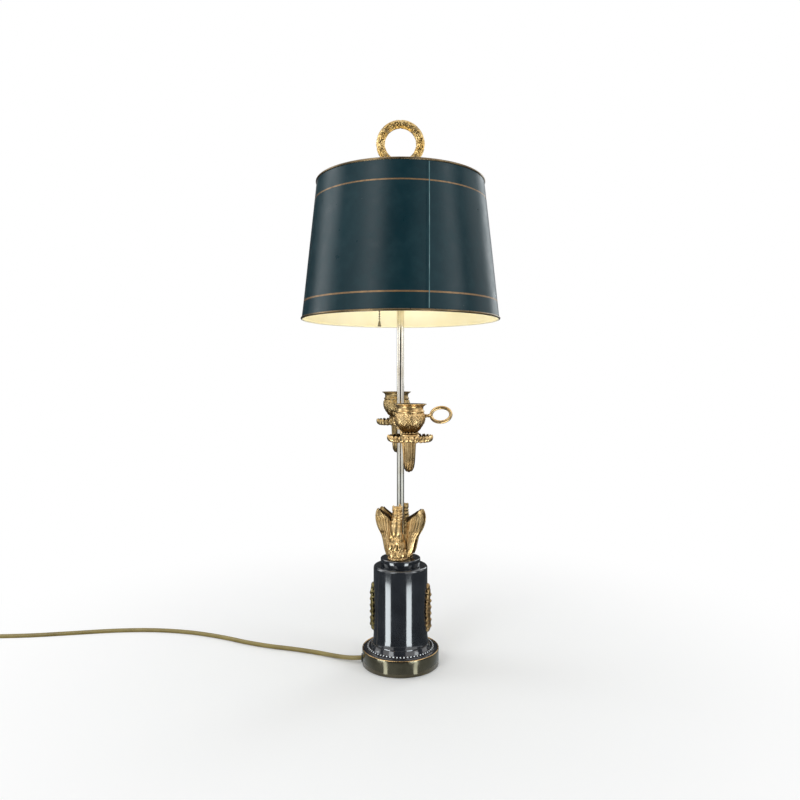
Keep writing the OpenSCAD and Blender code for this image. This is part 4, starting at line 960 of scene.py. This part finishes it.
def scales(along, round_, count, height):
    """Overlapping pointed leaves: along counts the rows, round_ goes once round for 1."""
    best = 0.0
    for offset in (0.0, 0.5):
        row = math.floor(along + offset)
        q = along + offset - row
        p = abs(((round_ * count + 0.5 * (row % 2) + offset) % 1) * 2 - 1)
        w = 1.02 * sin(pi * (0.14 + 0.86 * q)) ** 0.6
        if p < w:
            rib = 0.25 * exp(-(p / 0.13) ** 2)
            best = max(best, (0.45 + 0.55 * q) * sqrt(1 - (p / w) ** 2) + rib * (1 - q) * min(1, 6 * q))
    return height * best


def wreath_shape():
    """A round laurel wreath: leaves climb both sides and meet at the top, with berries and crossed ribbons."""
    seg, around, band, rows, marks = 480, 56, 5.5, [], []
    for i in range(seg):
        theta = 360 * i / seg - 90
        climb = 180 - abs((theta + 90) % 360 - 180)
        bound = min(abs((theta - at + 180) % 360 - 180) for at in (42, 138, 222, 318))
        row = []
        for k in range(around):
            phi = TAU * k / around
            if bound < band:
                relief = 0.85 + 0.3 * abs(sin(radians(90) * bound / band + phi))
            elif climb < 4 or climb > 177:
                relief = 0.6
            else:
                relief = scales(climb / 12.0, phi / TAU, 6, 1.5)
            wide, deep = 5.0 + min(relief, 1.1), 3.1 + relief
            a = radians(theta)
            r = WREATH_R + wide * cos(phi)
            row.append(Vector((r * cos(a), deep * sin(phi), r * sin(a))))
        rows.append(row)
        marks += [1 if bound < band else 0] * around
    made = Shape(skin(rows, loop=True))
    made.m = marks
    for i in range(36):
        theta = radians(10 * i + 5)
        for m in (-1, 1):
            r = WREATH_R + (2.0 if i % 2 else -2.1)
            made.add(ball((r * cos(theta), m * 4.3, r * sin(theta)), 1.5, 12))
    # five small balls under the ring, painted dark as shade
    for i in range(5):
        theta = radians(-110 + 10 * i)
        made.add(ball((20.8 * cos(theta), 0, 20.8 * sin(theta)), 1.7, 14), mat=2)
    return made.moved(shift((0, 0, WREATH_Z)))


wreath = wreath_shape()
wreath.add(lathe([(0, 681), (3, 681), (3, 689), (0, 689)], 32))
piece("laurel_wreath", wreath, [GILT_WREATH, GILT_DARK_AND_SHADE, GILT_DEEP_SHADE], "wreath", sharp=179)


# ---- Finishes of the frame's own nodes ----

for names, metal, slot in (
    (["base_weight"], IRON, "iron"), (["felt_pad"], FELT, "felt"),
    (["tie_rod", "tie_nut", "tie_washer", "swan_screws", "stop_screw", "stud_front", "stud_rear", "bulb_cap_left",
      "bulb_cap_right", "plug_pins"], STEEL, "steel"),
    (["cluster_body", "socket_arm_left", "socket_arm_right", "lampholder_left", "lampholder_right", "pull_switch",
      "upper_rod", "clamp_collar", "spider"], POLISHED, "polished_metal"),
    (["plaque_nails", "thumbscrew"], GILT, "gilt_bronze"), (["inner_lead"], CORD, "cord_sheath"),
):
    for name in names:
        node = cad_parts[name]
        node.data.materials.clear()
        node.data.materials.append(metal)


# ---- Floor, light and world ----

def shader_tree(owner):
    owner.use_nodes = True
    owner.node_tree.nodes.clear()
    return owner.node_tree


def seen_directly(tree):
    """1 for camera, glossy and transmission rays."""
    path = tree.nodes.new("ShaderNodeLightPath")
    total = path.outputs["Is Camera Ray"]
    for name in ("Is Glossy Ray", "Is Transmission Ray"):
        either = add_node(tree, "ShaderNodeMath", {"operation": "MAXIMUM"}, i0=total, i1=path.outputs[name])
        total = either.outputs[0]
    return total


def emission_material(name, color, strength):
    mat = bpy.data.materials.new(name)
    tree = shader_tree(mat)
    lamp = add_node(tree, "ShaderNodeEmission", Color=color, Strength=strength)
    add_node(tree, "ShaderNodeOutputMaterial", i0=lamp.outputs[0])
    return mat


def stage_mesh(name, verts, faces, mat):
    mesh = bpy.data.meshes.new(name)
    mesh.from_pydata(verts, [], faces)
    mesh.materials.append(mat)
    obj = placed(name, mesh)
    obj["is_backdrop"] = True
    return obj


WORLD_LIGHT, PAPER, FLOOR_HALF, FLOOR_FADE = 0.62, 0.92, 9, 0.75
WHITE, COOL, COOL_CARD, WARM = (1, 1, 1, 1), (0.93, 0.98, 1.0), (0.9, 0.97, 1.0, 1), (1.0, 0.9, 0.68)

world = bpy.data.worlds.new("studio")
bpy.context.scene.world = world
tree = shader_tree(world)
lit = add_node(tree, "ShaderNodeBackground", Color=WHITE, Strength=WORLD_LIGHT)
white = add_node(tree, "ShaderNodeBackground", Color=WHITE, Strength=1.0)
both = add_node(tree, "ShaderNodeMixShader", i0=seen_directly(tree), i1=lit.outputs[0], i2=white.outputs[0])
add_node(tree, "ShaderNodeOutputWorld", i0=both.outputs[0])

# The floor is paper near the lamp and turns into the white of the background further off
floor_mat = bpy.data.materials.new("floor")
tree = shader_tree(floor_mat)
coord = tree.nodes.new("ShaderNodeTexCoord").outputs["Object"]
away = add_node(tree, "ShaderNodeVectorMath", {"operation": "LENGTH"}, i0=coord).outputs["Value"]
fade = add_node(tree, "ShaderNodeMapRange", {"interpolation_type": "SMOOTHSTEP"}, Value=away, From_Min=0.0,
                From_Max=FLOOR_FADE)
paper = add_node(tree, "ShaderNodeBsdfDiffuse", Color=(PAPER, PAPER, PAPER, 1))
white = add_node(tree, "ShaderNodeEmission", Color=WHITE, Strength=1.0)
share = add_node(tree, "ShaderNodeMath", {"operation": "MULTIPLY"}, i0=fade.outputs[0], i1=seen_directly(tree))
both = add_node(tree, "ShaderNodeMixShader", i0=share.outputs[0], i1=paper.outputs[0], i2=white.outputs[0])
add_node(tree, "ShaderNodeOutputMaterial", i0=both.outputs[0])
corners = [(x * FLOOR_HALF, y * FLOOR_HALF, 0) for x, y in ((-1, -1), (1, -1), (1, 1), (-1, 1))]
stage_mesh("floor", corners, [(0, 1, 2, 3)], floor_mat)


def softbox(name, azimuth, distance, height, size, radiance, aim):
    """An upright soft light; azimuth is from straight in front, positive to the right."""
    data = bpy.data.lights.new(name, "AREA")
    data.shape, data.size, data.size_y = "RECTANGLE", *size
    data.energy, data.color = radiance * pi * size[0] * size[1], COOL
    obj = placed(name, data)
    a = radians(azimuth)
    obj.location = (distance * sin(a), -distance * cos(a), height)
    obj.rotation_euler = (Vector((0, 0, aim)) - obj.location).to_track_quat("-Z", "Y").to_euler()
    obj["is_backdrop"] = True


for name, *box in (
    ("box_left", -36, 1.5, 1.0, (0.5, 1.1), 2.2, 0.5),
    ("box_right", 64, 1.5, 1.0, (0.45, 1.1), 2.8, 0.5),
    ("box_high_left", -27, 1.9, 1.7, (0.5, 0.9), 3.2, 0.6),
    ("box_side_right", 138, 1.7, 0.95, (0.7, 1.2), 2.4, 0.6),
    ("box_side_left", -101, 1.6, 0.95, (0.8, 1.2), 2.1, 0.6),
):
    softbox(name, *box)


def reflected_only(obj):
    """Seen in glossy surfaces alone."""
    obj.visible_camera = obj.visible_diffuse = obj.visible_shadow = obj.visible_transmission = False


def floor_card(name, spread, near, far, height, radiance, r=0.0):
    """A card on the floor that upright surfaces of radius r mirror between two angles, from near to far."""
    low, high = spread
    steps = max(2, int((high - low) / 3))
    verts = []
    for i in range(steps + 1):
        a = radians(low + (high - low) * i / steps)
        turn = 2 * a if r else a
        verts += [(r * sin(a) + t * sin(turn), -r * cos(a) - t * cos(turn), height)
                  for t in (near, far)]
    faces = [(2 * i, 2 * i + 1, 2 * i + 3, 2 * i + 2) for i in range(steps)]
    reflected_only(stage_mesh(name, verts, faces, emission_material(name, COOL_CARD, radiance)))


floor_card("card_floor", (0, 360), 0.056, 2.6, 0.0002, 0.07)
floor_card("base_glow", (0, 360), 0.056, 0.115, 0.0004, 0.5)
for side, base, column, pole in (("left", (-26, -20), (-33, -21), (-98, -20)),
                                 ("right", (20, 26), (12.5, 23.5), (20, 94))):
    floor_card(f"base_streak_{side}", base, 0.002, 0.06, 0.0008, 4.0, 0.0528)
    floor_card(f"column_streak_{side}", column, 0.075, 0.56, 0.0006, 7.5, COLUMN_R * MM)
    floor_card(f"pole_streak_{side}", pole, 1.1, 2.6, 0.0004, 1.0)


def dark_card(name, azimuth, distance, size):
    """A dark card that only reflections show, as the unlit room behind the camera does."""
    a, low = radians(azimuth), 0.02
    side = polar(1, a) * size[0] / 2
    at = Vector((distance * sin(a), -distance * cos(a), 0))
    verts = [at + side * m + Vector((0, 0, z)) for m, z in ((-1, low), (1, low), (1, size[1]), (-1, size[1]))]
    mat = Finish(name, Base_Color=(0.05, 0.05, 0.052, 1), Roughness=0.9).mat
    reflected_only(stage_mesh(name, verts, [(0, 1, 2, 3)], mat))


for name, *card in (
    ("card_behind_camera", -4, 2.6, (2.3, 3.2)),
    ("card_left", -76, 2.4, (0.5, 2.6)),
    ("card_right", 80, 2.4, (0.9, 2.6)),
    ("card_back_left", -132, 2.2, (1.8, 1.7)),
    ("card_back", 180, 2.0, (1.9, 1.3)),
    ("card_back_right", 136, 2.2, (1.5, 1.7)),
):
    dark_card(name, *card)

# The warm light of the lit bulbs under the shade
for name, y in (("glow_front", -0.045), ("glow_back", 0.045)):
    data = bpy.data.lights.new(name, "POINT")
    data.energy, data.shadow_soft_size, data.color = 0.16, 0.02, WARM
    obj = placed(name, data)
    obj.location, obj.visible_glossy = (0, y, 0.56), False
    obj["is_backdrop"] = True

bpy.context.scene.view_settings.view_transform = "Standard"

low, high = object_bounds()
